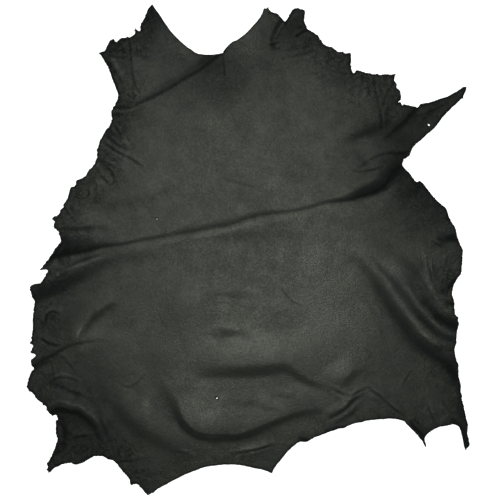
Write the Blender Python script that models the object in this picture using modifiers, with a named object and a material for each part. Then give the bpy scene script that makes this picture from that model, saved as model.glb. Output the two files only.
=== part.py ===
"""A whole dressed skin, soft and thin, lying grain side up on a flat surface.

The skin is one sheet. Its outline and its folds are measured in millimetres on a square
table, right and down from the table's far left corner, with the neck at the far side.
The sheet is drawn flat first: an outline, then points that follow the folds. Each point
is then lifted by the folds that it lies on, and Solidify gives the sheet its thickness.
The model is in metres, +Z up, with its origin under the middle of its own box.
"""

import math
import random
from collections import namedtuple

import bmesh
import bpy
import numpy as np
from mathutils import Vector, noise
from mathutils.geometry import delaunay_2d_cdt

MM = 0.001
THICKNESS = 1.2 * MM

EDGE_STEP = 13.0        # mm between points along the outline
FOLD_STEP = 15.0        # mm between points along a fold
PLAIN_STEP = 29.0       # mm between points where the skin lies flat
FOLD_CLEARANCE = 6.5    # mm, the least distance between points near folds
PLAIN_CLEARANCE = 15.0  # mm, the least distance between points where it lies flat
PATH_STEP = 5.0         # mm between the points that a fold's height is worked out from
TEAR_SEED = 11

SWELL_HIGH = 5.0        # mm, the highest of the slow swells between the folds
SWELL_LONG = 150.0      # mm, how far the slow swells reach
REST_RIGHT, REST_DOWN = 560.0, 600.0
REST_REACH = 60.0       # mm round that place where the skin lies flat on the surface
REST_FADE = 90.0        # mm from there out to where the slow swells are whole

LEATHER_COLOUR = (0.024, 0.026, 0.022, 1.0)
LEATHER_ROUGHNESS = 0.5

# A stretch of the outline: how raggedly it is torn in mm, and its corners, clockwise as
# seen from above. A corner's bow is how far the edge from it to the next corner curves
# out of the straight: outwards above zero, inwards below it.
Stretch = namedtuple("Stretch", "torn corners")
Corner = namedtuple("Corner", "right down bow")

OUTLINE = {
    "neck cut": Stretch(0.3, [
        (305, 9, -4), (375, 95, -9.5), (446, 105, 0), (447, 102, -1),
        (465, 84, -4), (515, 42, -1.5), (527, 18, 0),
    ]),
    "right fore shank": Stretch(0.6, [
        (529, 17, 0), (537, 14, 0), (538, 20, 1), (555, 28, 1), (570, 44, 0),
        (578, 31, 1), (588, 18, 1), (596, 16, 0), (609, 21, 0), (608, 42, 0),
        (614, 58, 0),
    ]),
    "right shoulder": Stretch(1.2, [
        (636, 71, 0), (641, 80, 0), (654, 93, 0), (676, 104, 0), (701, 106, 0),
        (702, 131, 0), (706, 147, 0), (714, 141, 0), (760, 150, 0), (791, 147, 0),
        (788, 159, 0), (794, 178, 0), (800, 183, 0), (803, 197, 0), (796, 203, 0),
        (802, 206, 0), (804, 212, 0), (808, 209, 0), (835, 216, 0),
    ]),
    "right fore leg": Stretch(0.6, [
        (841, 208, -2), (906, 187, 0), (927, 174, 0), (933, 174, 0), (926, 196, -3),
        (868, 257, 0), (823, 297, 5), (805, 319, 0),
    ]),
    "right flank": Stretch(1.0, [
        (805, 332, 0), (829, 362, 0), (839, 362, 1), (872, 400, 0), (888, 413, 1),
        (904, 446, 1), (926, 502, 0), (923, 543, -3), (904, 587, 2), (908, 628, 0),
        (915, 636, 0), (916, 649, 0), (910, 676, 2), (907, 697, -1.5), (915, 733, -1),
        (922, 773, 0), (924, 792, 0), (928, 819, 0), (936, 850, -1), (939, 888, 0),
    ]),
    "right hind shank": Stretch(0.5, [
        (931, 901, 1), (922, 864, -4), (905, 848, 0), (871, 857, -3), (849, 877, 0),
        (852, 894, -2), (813, 848, -3),
    ]),
    "rump": Stretch(0.4, [
        (783, 837, -1), (732, 841, -1), (688, 856, 0), (640, 871, 0), (614, 883, 0),
        (600, 883, 0), (581, 898, -2.5), (545, 945, 0), (540, 946, -2), (480, 930, -3),
        (402, 936, -2.5), (310, 982, 0), (296, 990, 0),
    ]),
    "left hind leg": Stretch(0.8, [
        (278, 970, 0), (262, 969, 0), (260, 960, -1), (228, 922, 0), (209, 914, -1.5),
        (186, 913, 2.5), (150, 929, 0), (142, 925, 0), (112, 934, 0), (99, 945, 0),
        (93, 940, 0), (95, 927, -1.5), (116, 877, 0), (112, 856, 0), (112, 841, 0),
        (116, 838, 0), (112, 829, 0), (104, 832, 0),
    ]),
    "left flank": Stretch(1.2, [
        (92, 810, 0), (70, 792, 0), (57, 780, 0), (54, 771, 0), (60, 751, 0),
        (68, 738, 0), (62, 722, 0), (73, 709, 0), (62, 703, 0), (67, 693, 0),
        (60, 686, 0), (65, 666, 0), (66, 632, 0), (70, 602, 0), (63, 590, 0),
        (62, 575, 0), (70, 568, 0), (84, 566, 0), (98, 542, 0), (81, 539, 0),
        (100, 514, 0), (124, 481, 0), (120, 465, 0), (109, 455, 0), (112, 445, 0),
        (106, 437, 0),
    ]),
    "left waist": Stretch(0.8, [
        (118, 431, 0), (128, 415, 0), (141, 376, 0), (152, 370, 0), (154, 360, 0),
        (172, 351, 2), (190, 328, 0), (195, 310, 0), (193, 301, 0), (199, 284, 2),
        (217, 256, 0), (225, 239, 0), (223, 223, 0), (237, 194, 0),
    ]),
    "left fore shank": Stretch(1.0, [
        (221, 147, 0), (204, 114, 0), (197, 106, 0), (211, 100, 0), (219, 82, 0),
        (227, 78, 0), (232, 84, 0), (243, 76, 0), (262, 74, 0), (270, 67, 0),
        (271, 56, 0), (279, 62, 0), (281, 48, 0), (291, 30, 2),
    ]),
}

# A fold's shape across its line, then its sections along the line. A roll has a soft
# crest and a lip a sharp one, each falling away on both sides. A crease is a sharp
# valley between two low rolls: share is the near roll's part of the far roll's height.
Fold = namedtuple("Fold", "shape share sections")
# A section's place, its height, and how far it reaches to the far and the near side.
Section = namedtuple("Section", "right down high far near")

FOLDS = {
    "crease from flank to fore leg": Fold("crease", 0.12, [
        (92, 516, 14, 80, 30), (130, 510, 14, 80, 30), (160, 505, 9, 54, 30),
        (180, 500, 6, 36, 30), (210, 493, 2.6, 24, 30), (244, 489, 1.4, 24, 30),
        (300, 478, 1.3, 24, 30), (400, 460, 2, 42, 24), (450, 452, 2.2, 48, 24),
        (500, 436, 2, 42, 24), (550, 426, 1.4, 30, 26), (600, 420, 1.2, 24, 28),
        (650, 407, 1.4, 24, 30), (680, 402, 2.2, 27, 30), (700, 399, 5, 42, 30),
        (720, 394, 9, 66, 30), (740, 387, 12, 75, 30), (770, 369, 16, 72, 30),
        (782, 352, 17, 66, 30), (808, 328, 16, 42, 30),
    ]),
    "left flank lip": Fold("lip", 1, [
        (56, 582, 13, 50, 30), (86, 568, 13, 50, 32), (116, 554, 11, 50, 28),
        (146, 539, 7, 44, 24), (176, 528, 5, 40, 20), (206, 517, 2.6, 30, 16),
        (224, 512, 1.2, 26, 14), (248, 504, 0, 20, 12),
    ]),
    "left shoulder crease": Fold("crease", 0.3, [
        (220, 217, 4, 24, 12), (250, 218, 4, 24, 12), (280, 207, 2, 24, 16),
        (300, 196, 1.6, 24, 18), (330, 182, 1.6, 24, 18), (360, 164, 1.6, 24, 18),
        (390, 146, 1.6, 24, 18), (414, 130, 2, 24, 18), (432, 116, 2.4, 24, 18),
        (448, 104, 2, 24, 18),
    ]),
    "left shoulder lip": Fold("lip", 1, [
        (220, 223, 2.5, 8, 24), (244, 223, 3, 8, 26), (264, 221, 2, 8, 24),
        (284, 212, 0, 8, 20),
    ]),
    "left shoulder shelf": Fold("roll", 1, [
        (92, 452, 1.6, 30, 12), (124, 450, 2.2, 34, 13), (170, 449, 2.2, 34, 13),
        (200, 449, 1.2, 30, 12), (228, 448, 0, 24, 12),
    ]),
    "left knee roll": Fold("roll", 1, [
        (150, 700, 0, 50, 14), (154, 672, 3, 50, 14), (168, 646, 3.2, 50, 18),
        (180, 632, 3.2, 50, 18), (196, 618, 3, 50, 18), (214, 606, 2, 46, 16),
        (240, 598, 0, 40, 14),
    ]),
    "left hind crease": Fold("crease", 0.2, [
        (56, 732, 7, 36, 30), (76, 726, 6.5, 36, 30), (112, 707, 3, 24, 30),
        (130, 696, 2, 24, 30), (150, 689, 1.5, 24, 30), (180, 684, 0.8, 24, 30),
        (208, 682, 0, 24, 20),
    ]),
    "left hock pleat": Fold("lip", 1, [
        (92, 820, 7, 40, 12), (115, 806, 11, 44, 13), (134, 808, 12, 44, 13),
        (156, 814, 12, 44, 13), (182, 834, 10, 44, 14), (200, 864, 4, 40, 14),
        (210, 882, 1, 30, 14), (218, 898, 0, 24, 12),
    ]),
    "left thigh crease": Fold("crease", 0.4, [
        (100, 768, 0, 24, 20), (120, 772, 2.2, 24, 22), (140, 781, 2.6, 24, 22),
        (160, 788, 2.6, 24, 22), (180, 798, 0, 24, 18),
    ]),
    "outer belly roll": Fold("roll", 1, [
        (232, 800, 0, 40, 16), (246, 816, 2.5, 44, 18), (276, 846, 3.6, 44, 20),
        (304, 866, 4, 44, 20), (336, 886, 4, 40, 18), (370, 900, 3, 36, 16),
        (400, 910, 0, 30, 14),
    ]),
    "inner belly roll": Fold("roll", 1, [
        (326, 752, 0, 60, 14), (336, 776, 2, 70, 14), (350, 798, 3.4, 80, 14),
        (362, 830, 4.4, 90, 14), (374, 848, 5.4, 90, 14), (394, 860, 6, 92, 13),
        (418, 866, 6, 92, 12), (446, 868, 5.4, 92, 14), (472, 868, 4.6, 90, 16),
        (494, 862, 4.4, 84, 15), (524, 850, 4.2, 80, 13), (558, 836, 3.4, 70, 13),
        (592, 824, 2.6, 60, 12), (626, 818, 1.2, 50, 12), (652, 816, 0, 40, 12),
    ]),
    "belly crease": Fold("roll", 1, [
        (372, 744, 0, 60, 14), (400, 738, 0.8, 60, 14), (424, 734, 2, 64, 15),
        (448, 732, 2.8, 70, 16), (480, 732, 3.2, 70, 17), (520, 731, 3.2, 70, 17),
        (552, 728, 3, 70, 16), (576, 730, 2.6, 66, 16), (598, 743, 2.2, 60, 15),
        (622, 758, 1.6, 50, 14), (644, 768, 0.8, 40, 13), (668, 776, 0, 36, 12),
    ]),
    "right thigh roll": Fold("roll", 1, [
        (668, 772, 0, 40, 18), (688, 756, 1.6, 44, 18), (704, 742, 1.6, 44, 18),
        (724, 724, 0, 40, 18),
    ]),
    "right thigh crease": Fold("crease", 0.6, [
        (660, 836, 0, 24, 16), (694, 816, 3, 24, 18), (716, 794, 0, 24, 16),
    ]),
    "right flank fold": Fold("roll", 1, [
        (712, 500, 0, 70, 14), (724, 514, 1.6, 70, 14), (754, 546, 2.8, 70, 16),
        (784, 576, 4.2, 66, 18), (800, 596, 5.2, 66, 18), (816, 624, 6.4, 64, 19),
        (836, 650, 8, 60, 24), (854, 670, 8.5, 60, 26), (876, 684, 8.5, 60, 26),
        (904, 690, 8.5, 60, 22), (924, 694, 8, 60, 22),
    ]),
    "right middle fold": Fold("roll", 1, [
        (788, 540, 0, 44, 15), (804, 560, 2.4, 44, 15), (820, 580, 3.2, 44, 16),
        (836, 600, 3.8, 44, 16), (856, 630, 4.4, 40, 15), (876, 654, 5, 40, 14),
        (904, 664, 5, 40, 14), (920, 666, 5, 40, 14),
    ]),
    "right upper fold": Fold("lip", 1, [
        (792, 508, 0, 44, 16), (816, 532, 1.8, 44, 18), (836, 552, 2.6, 44, 19),
        (850, 570, 4, 44, 20), (866, 596, 6.5, 40, 20), (884, 620, 8, 36, 20),
        (904, 634, 8, 34, 20), (920, 640, 8, 34, 20),
    ]),
    "right edge lift": Fold("roll", 1, [
        (876, 482, 0, 30, 12), (892, 470, 5, 30, 12), (922, 462, 9, 30, 14),
    ]),
    "fore leg valley": Fold("crease", 0.4, [
        (772, 276, 0, 30, 26), (786, 264, 3, 33, 28), (804, 248, 5, 36, 30),
        (820, 232, 6, 36, 30), (836, 214, 6, 36, 30), (848, 200, 5, 36, 30),
    ]),
    "shoulder roll": Fold("roll", 1, [
        (672, 278, 0, 30, 16), (690, 270, 1.6, 34, 18), (720, 257, 2.8, 34, 18),
        (744, 248, 2.8, 30, 18), (764, 238, 1.5, 26, 16), (780, 228, 0, 22, 14),
    ]),
    "armpit crease": Fold("crease", 0.5, [
        (704, 342, 0, 24, 20), (724, 330, 1.6, 24, 22), (744, 314, 2.2, 24, 22),
        (764, 304, 2.4, 24, 22), (790, 300, 2.4, 24, 22), (816, 294, 3, 24, 20),
    ]),
    "right shank roll": Fold("roll", 1, [
        (556, 100, 0, 30, 12), (576, 92, 1.6, 30, 13), (600, 87, 2, 30, 14),
        (624, 84, 1.6, 30, 13), (648, 82, 0, 24, 12),
    ]),
    "shank overlap": Fold("lip", 1, [
        (544, 98, 0, 24, 8), (544, 80, 3, 26, 9), (548, 56, 4, 26, 10), (558, 40, 3, 24, 10),
        (566, 28, 0, 20, 9),
    ]),
}


def on_table(rows, kind):
    """Rows of a table as an array, with down turned into -Y."""
    table = np.array([kind(*row) for row in rows], dtype=float)
    table[:, 1] *= -1.0
    return table


def edge_between(start, end, bow, torn, dice):
    """Points from start up to the one before end, along a curve that bows outwards."""
    along = end - start
    length = float(np.hypot(*along))
    outwards = np.array([-along[1], along[0]]) / length
    steps = max(1, round(length / EDGE_STEP))
    points = [start]
    for step in range(1, steps):
        part = step / steps
        out = 4.0 * bow * part * (1.0 - part) + dice.uniform(-torn, torn)
        points.append(start + along * part + outwards * out)
    return points


def draw_outline():
    """The whole outline in mm, clockwise, with the tears of its ragged stretches."""
    dice = random.Random(TEAR_SEED)
    corners = []
    for stretch in OUTLINE.values():
        for corner in on_table(stretch.corners, Corner):
            corners.append((corner, stretch.torn))
    points = []
    for index, (corner, torn) in enumerate(corners):
        following = corners[(index + 1) % len(corners)][0]
        points += edge_between(corner[:2], following[:2], corner[2], torn, dice)
    return np.array(points)


def smooth_path(sections, step):
    """A fold's sections joined by a Catmull-Rom curve, with a row about every step mm."""
    rows = on_table(sections, Section)
    before = 2.0 * rows[0] - rows[1]
    after = 2.0 * rows[-1] - rows[-2]
    rows = np.vstack([before, rows, after])
    path = []
    for a, b, c, d in zip(rows, rows[1:], rows[2:], rows[3:]):
        count = max(1, math.ceil(np.hypot(*(c - b)[:2]) / step))
        for t in np.arange(count) / count:
            path.append(0.5 * (2.0 * b + (c - a) * t + (2.0 * a - 5.0 * b + 4.0 * c - d) * t**2
                               + (3.0 * b - a - 3.0 * c + d) * t**3))
    path.append(rows[-2])
    path = np.array(path)
    path[:, 2:] = np.maximum(path[:, 2:], 0.0)
    return path


def soft_fall(t):
    """From 1 at the crest to 0 at the fold's foot, level at both."""
    return (1.0 - t**2) ** 2


def sharp_fall(t):
    """From 1 at the crest to 0 at the fold's foot, steep from the crest on."""
    return (1.0 - t) ** 2 * (1.0 + 0.5 * t)


def valley_side(t):
    """From 0 in the valley up to 1 a third of the way out, and down to 0 again."""
    return 6.75 * t * (1.0 - t) ** 2


def fold_lift(points, fold):
    """How high, in mm, one fold lifts each point."""
    path = smooth_path(fold.sections, PATH_STEP)
    start, run = path[:-1], np.diff(path, axis=0)
    away = points[:, None, :] - start[None, :, :2]
    length = (run[:, :2] ** 2).sum(axis=1)
    along = np.clip((away * run[None, :, :2]).sum(axis=2) / length, 0.0, 1.0)
    gap = away - along[:, :, None] * run[None, :, :2]
    distance = np.hypot(gap[:, :, 0], gap[:, :, 1])
    row = np.arange(len(points))
    nearest = distance.argmin(axis=1)
    here = start[nearest] + run[nearest] * along[row, nearest][:, None]
    side = run[nearest, 0] * away[row, nearest, 1] - run[nearest, 1] * away[row, nearest, 0]
    on_far_side = side >= 0.0
    reach = np.where(on_far_side, here[:, 3], here[:, 4])
    t = np.clip(distance[row, nearest] / np.maximum(reach, 1.0), 0.0, 1.0)
    if fold.shape == "crease":
        return here[:, 2] * valley_side(t) * np.where(on_far_side, 1.0, fold.share)
    near_fall = sharp_fall(t) if fold.shape == "lip" else soft_fall(t)
    return here[:, 2] * np.where(on_far_side, soft_fall(t), near_fall)


def slow_swell(point):
    """How high, in mm, the skin stands off the surface between its folds."""
    waves = noise.noise(Vector((point[0], point[1], 0.0)) / SWELL_LONG)
    from_rest = math.hypot(point[0] - REST_RIGHT, point[1] + REST_DOWN)
    whole = min(1.0, max(0.0, (from_rest - REST_REACH) / REST_FADE))
    return SWELL_HIGH * max(0.0, waves) ** 1.5 * whole


def lift(points):
    """The height of the skin's underside in mm: its folds and swells, never below zero."""
    heights = np.array([slow_swell(point) for point in points])
    for fold in FOLDS.values():
        heights += fold_lift(points, fold)
    return heights


def rows_along(fold):
    """Points on a fold's line and on both its slopes, so that its facets follow it."""
    path = smooth_path(fold.sections, FOLD_STEP)
    run = np.gradient(path[:, :2], axis=0)
    to_far_side = np.stack([-run[:, 1], run[:, 0]], axis=1)
    to_far_side /= np.hypot(run[:, 0], run[:, 1])[:, None]
    share_of_reach = (0.0, 0.33, 0.66, 1.0)
    points = []
    for share in share_of_reach:
        points.append(path[:, :2] + to_far_side * path[:, 3:4] * share)
        points.append(path[:, :2] - to_far_side * path[:, 4:5] * share)
    return np.vstack(points)


def plain_grid(outline):
    """Staggered rows of points over the whole skin."""
    low, high = outline.min(axis=0), outline.max(axis=0)
    row_gap = PLAIN_STEP * math.sqrt(0.75)
    points = []
    for index, y in enumerate(np.arange(low[1], high[1], row_gap)):
        stagger = 0.5 * PLAIN_STEP * (index % 2)
        for x in np.arange(low[0] + stagger, high[0], PLAIN_STEP):
            points.append((x, y))
    return np.array(points)


def inside(points, outline):
    """Which points lie inside the outline, by counting the edges to the right of each."""
    crossed = np.zeros(len(points), dtype=bool)
    for a, b in zip(outline, np.roll(outline, -1, axis=0)):
        if a[1] == b[1]:
            continue
        spans = (a[1] > points[:, 1]) != (b[1] > points[:, 1])
        x = a[0] + (points[:, 1] - a[1]) * (b[0] - a[0]) / (b[1] - a[1])
        crossed ^= spans & (points[:, 0] < x)
    return crossed


def keep_apart(placed, candidates, clearance):
    """The placed points, and each candidate that is clear of all that came before it."""
    kept = list(placed)
    for candidate in candidates:
        gaps = np.array(kept) - candidate
        if (gaps**2).sum(axis=1).min() > clearance**2:
            kept.append(candidate)
    return np.array(kept)


def spread_points(outline):
    """The outline, then points close together on folds and far apart where it is flat."""
    points = outline
    on_folds = np.vstack([rows_along(fold) for fold in FOLDS.values()])
    on_folds = on_folds[inside(on_folds, outline)]
    points = keep_apart(points, on_folds, FOLD_CLEARANCE)
    plain = plain_grid(outline)
    plain = plain[inside(plain, outline)]
    return keep_apart(points, plain, PLAIN_CLEARANCE)


def make_sheet(name):
    """The skin's underside as an open surface, facing up, centred on the origin."""
    outline = draw_outline()
    points = spread_points(outline)
    count = len(outline)
    edges = [(index, (index + 1) % count) for index in range(count)]
    inside_the_edges = 1
    flat, _, faces, _, _, _ = delaunay_2d_cdt(
        [Vector(point) for point in points], edges, [], inside_the_edges, 1e-4)
    flat = np.array([tuple(corner) for corner in flat])
    middle = 0.5 * (outline.min(axis=0) + outline.max(axis=0))
    heights = lift(flat)
    sheet = bmesh.new()
    corners = [sheet.verts.new(((x - middle[0]) * MM, (y - middle[1]) * MM, z * MM))
               for (x, y), z in zip(flat, heights)]
    for face in faces:
        sheet.faces.new([corners[index] for index in face])
    bmesh.ops.recalc_face_normals(sheet, faces=sheet.faces)
    if sum(face.normal.z for face in sheet.faces) < 0.0:
        bmesh.ops.reverse_faces(sheet, faces=sheet.faces)
    mesh = bpy.data.meshes.new(name)
    sheet.to_mesh(mesh)
    sheet.free()
    return mesh


def make_leather():
    """Black dressed leather with a faint green-grey cast and a low sheen."""
    leather = bpy.data.materials.new("leather")
    leather.use_nodes = True
    shader = leather.node_tree.nodes["Principled BSDF"]
    shader.inputs["Base Color"].default_value = LEATHER_COLOUR
    shader.inputs["Roughness"].default_value = LEATHER_ROUGHNESS
    shader.inputs["Metallic"].default_value = 0.0
    return leather


def make_hide(collection):
    """The skin: its sheet, thickened upwards so that its underside stays as drawn."""
    hide = bpy.data.objects.new("hide", make_sheet("hide"))
    collection.objects.link(hide)
    hide.data.materials.append(make_leather())
    hide.data.shade_smooth()
    solid = hide.modifiers.new("thickness", "SOLIDIFY")
    solid.thickness = THICKNESS
    solid.offset = 1.0
    return hide


def clear_scene():
    for found in list(bpy.data.objects):
        bpy.data.objects.remove(found, do_unlink=True)


def main():
    clear_scene()
    parts = bpy.data.collections.new("leather_hide")
    bpy.context.scene.collection.children.link(parts)
    make_hide(parts)


main()
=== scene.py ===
# %% [markdown]
# This lesson dresses one object: a whole dressed skin, dyed near black, that lies grain
# side up with its flesh side on the surface. A soft sheet could be dropped on the floor by
# a cloth simulation, but its folds would then fall where they like. This skin's own folds
# are known, so it is drawn: an outline, a height for each point, and a thickness. The
# imported model comes in first and stays fixed.

import math
import random
from collections import namedtuple

import bpy
import numpy as np
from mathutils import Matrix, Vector, noise
from mathutils.geometry import delaunay_2d_cdt
from mathutils.kdtree import KDTree


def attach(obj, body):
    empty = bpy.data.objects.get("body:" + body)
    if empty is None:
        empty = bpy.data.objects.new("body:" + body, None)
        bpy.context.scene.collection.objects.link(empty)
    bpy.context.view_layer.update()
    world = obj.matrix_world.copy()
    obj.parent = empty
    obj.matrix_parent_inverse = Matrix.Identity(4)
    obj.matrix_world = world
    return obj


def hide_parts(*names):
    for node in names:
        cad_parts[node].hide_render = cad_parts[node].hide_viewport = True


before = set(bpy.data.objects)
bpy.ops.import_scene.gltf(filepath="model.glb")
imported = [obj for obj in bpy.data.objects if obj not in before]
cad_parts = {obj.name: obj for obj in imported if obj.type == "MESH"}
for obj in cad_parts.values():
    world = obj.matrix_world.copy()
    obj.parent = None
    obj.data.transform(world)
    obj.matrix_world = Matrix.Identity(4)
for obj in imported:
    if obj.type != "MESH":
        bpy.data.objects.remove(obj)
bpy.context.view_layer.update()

# %% [markdown]
# Places are measured in millimetres on a square table, right and down from its far left
# corner, with the neck at the far side. Blender works in metres from the middle of the
# skin, so two values turn one into the other. A table keeps its rows as they were
# measured, and becomes an array in which down is minus Y.

# %% Places on the table
MM = 0.001
MIDDLE_RIGHT, MIDDLE_DOWN = 496.5, 499.5


def on_table(rows):
    """Rows that start with a place right and down, as an array with Y upwards."""
    table = np.array(rows, dtype=float)
    table[:, 1] *= -1.0
    return table


def in_metres(points):
    """Table places in mm, with or without heights, as points of the scene."""
    moved = np.array(points, dtype=float)
    moved[:, 0] -= MIDDLE_RIGHT
    moved[:, 1] += MIDDLE_DOWN
    return moved * MM


# %% [markdown]
# The edge tells what was done to the skin. At the neck a knife cut a clean curve, and the
# rump is nearly as clean. Along the flanks and legs the thin skin tore, so the edge goes
# in and out in small teeth. The corners below are its true teeth, clockwise, and each
# stretch says how many millimetres the fray between them strays. One curve for the whole
# edge would be shorter, and would lose what makes it a torn skin.

# %% The outline of the skin
Stretch = namedtuple("Stretch", "torn corners")

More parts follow.
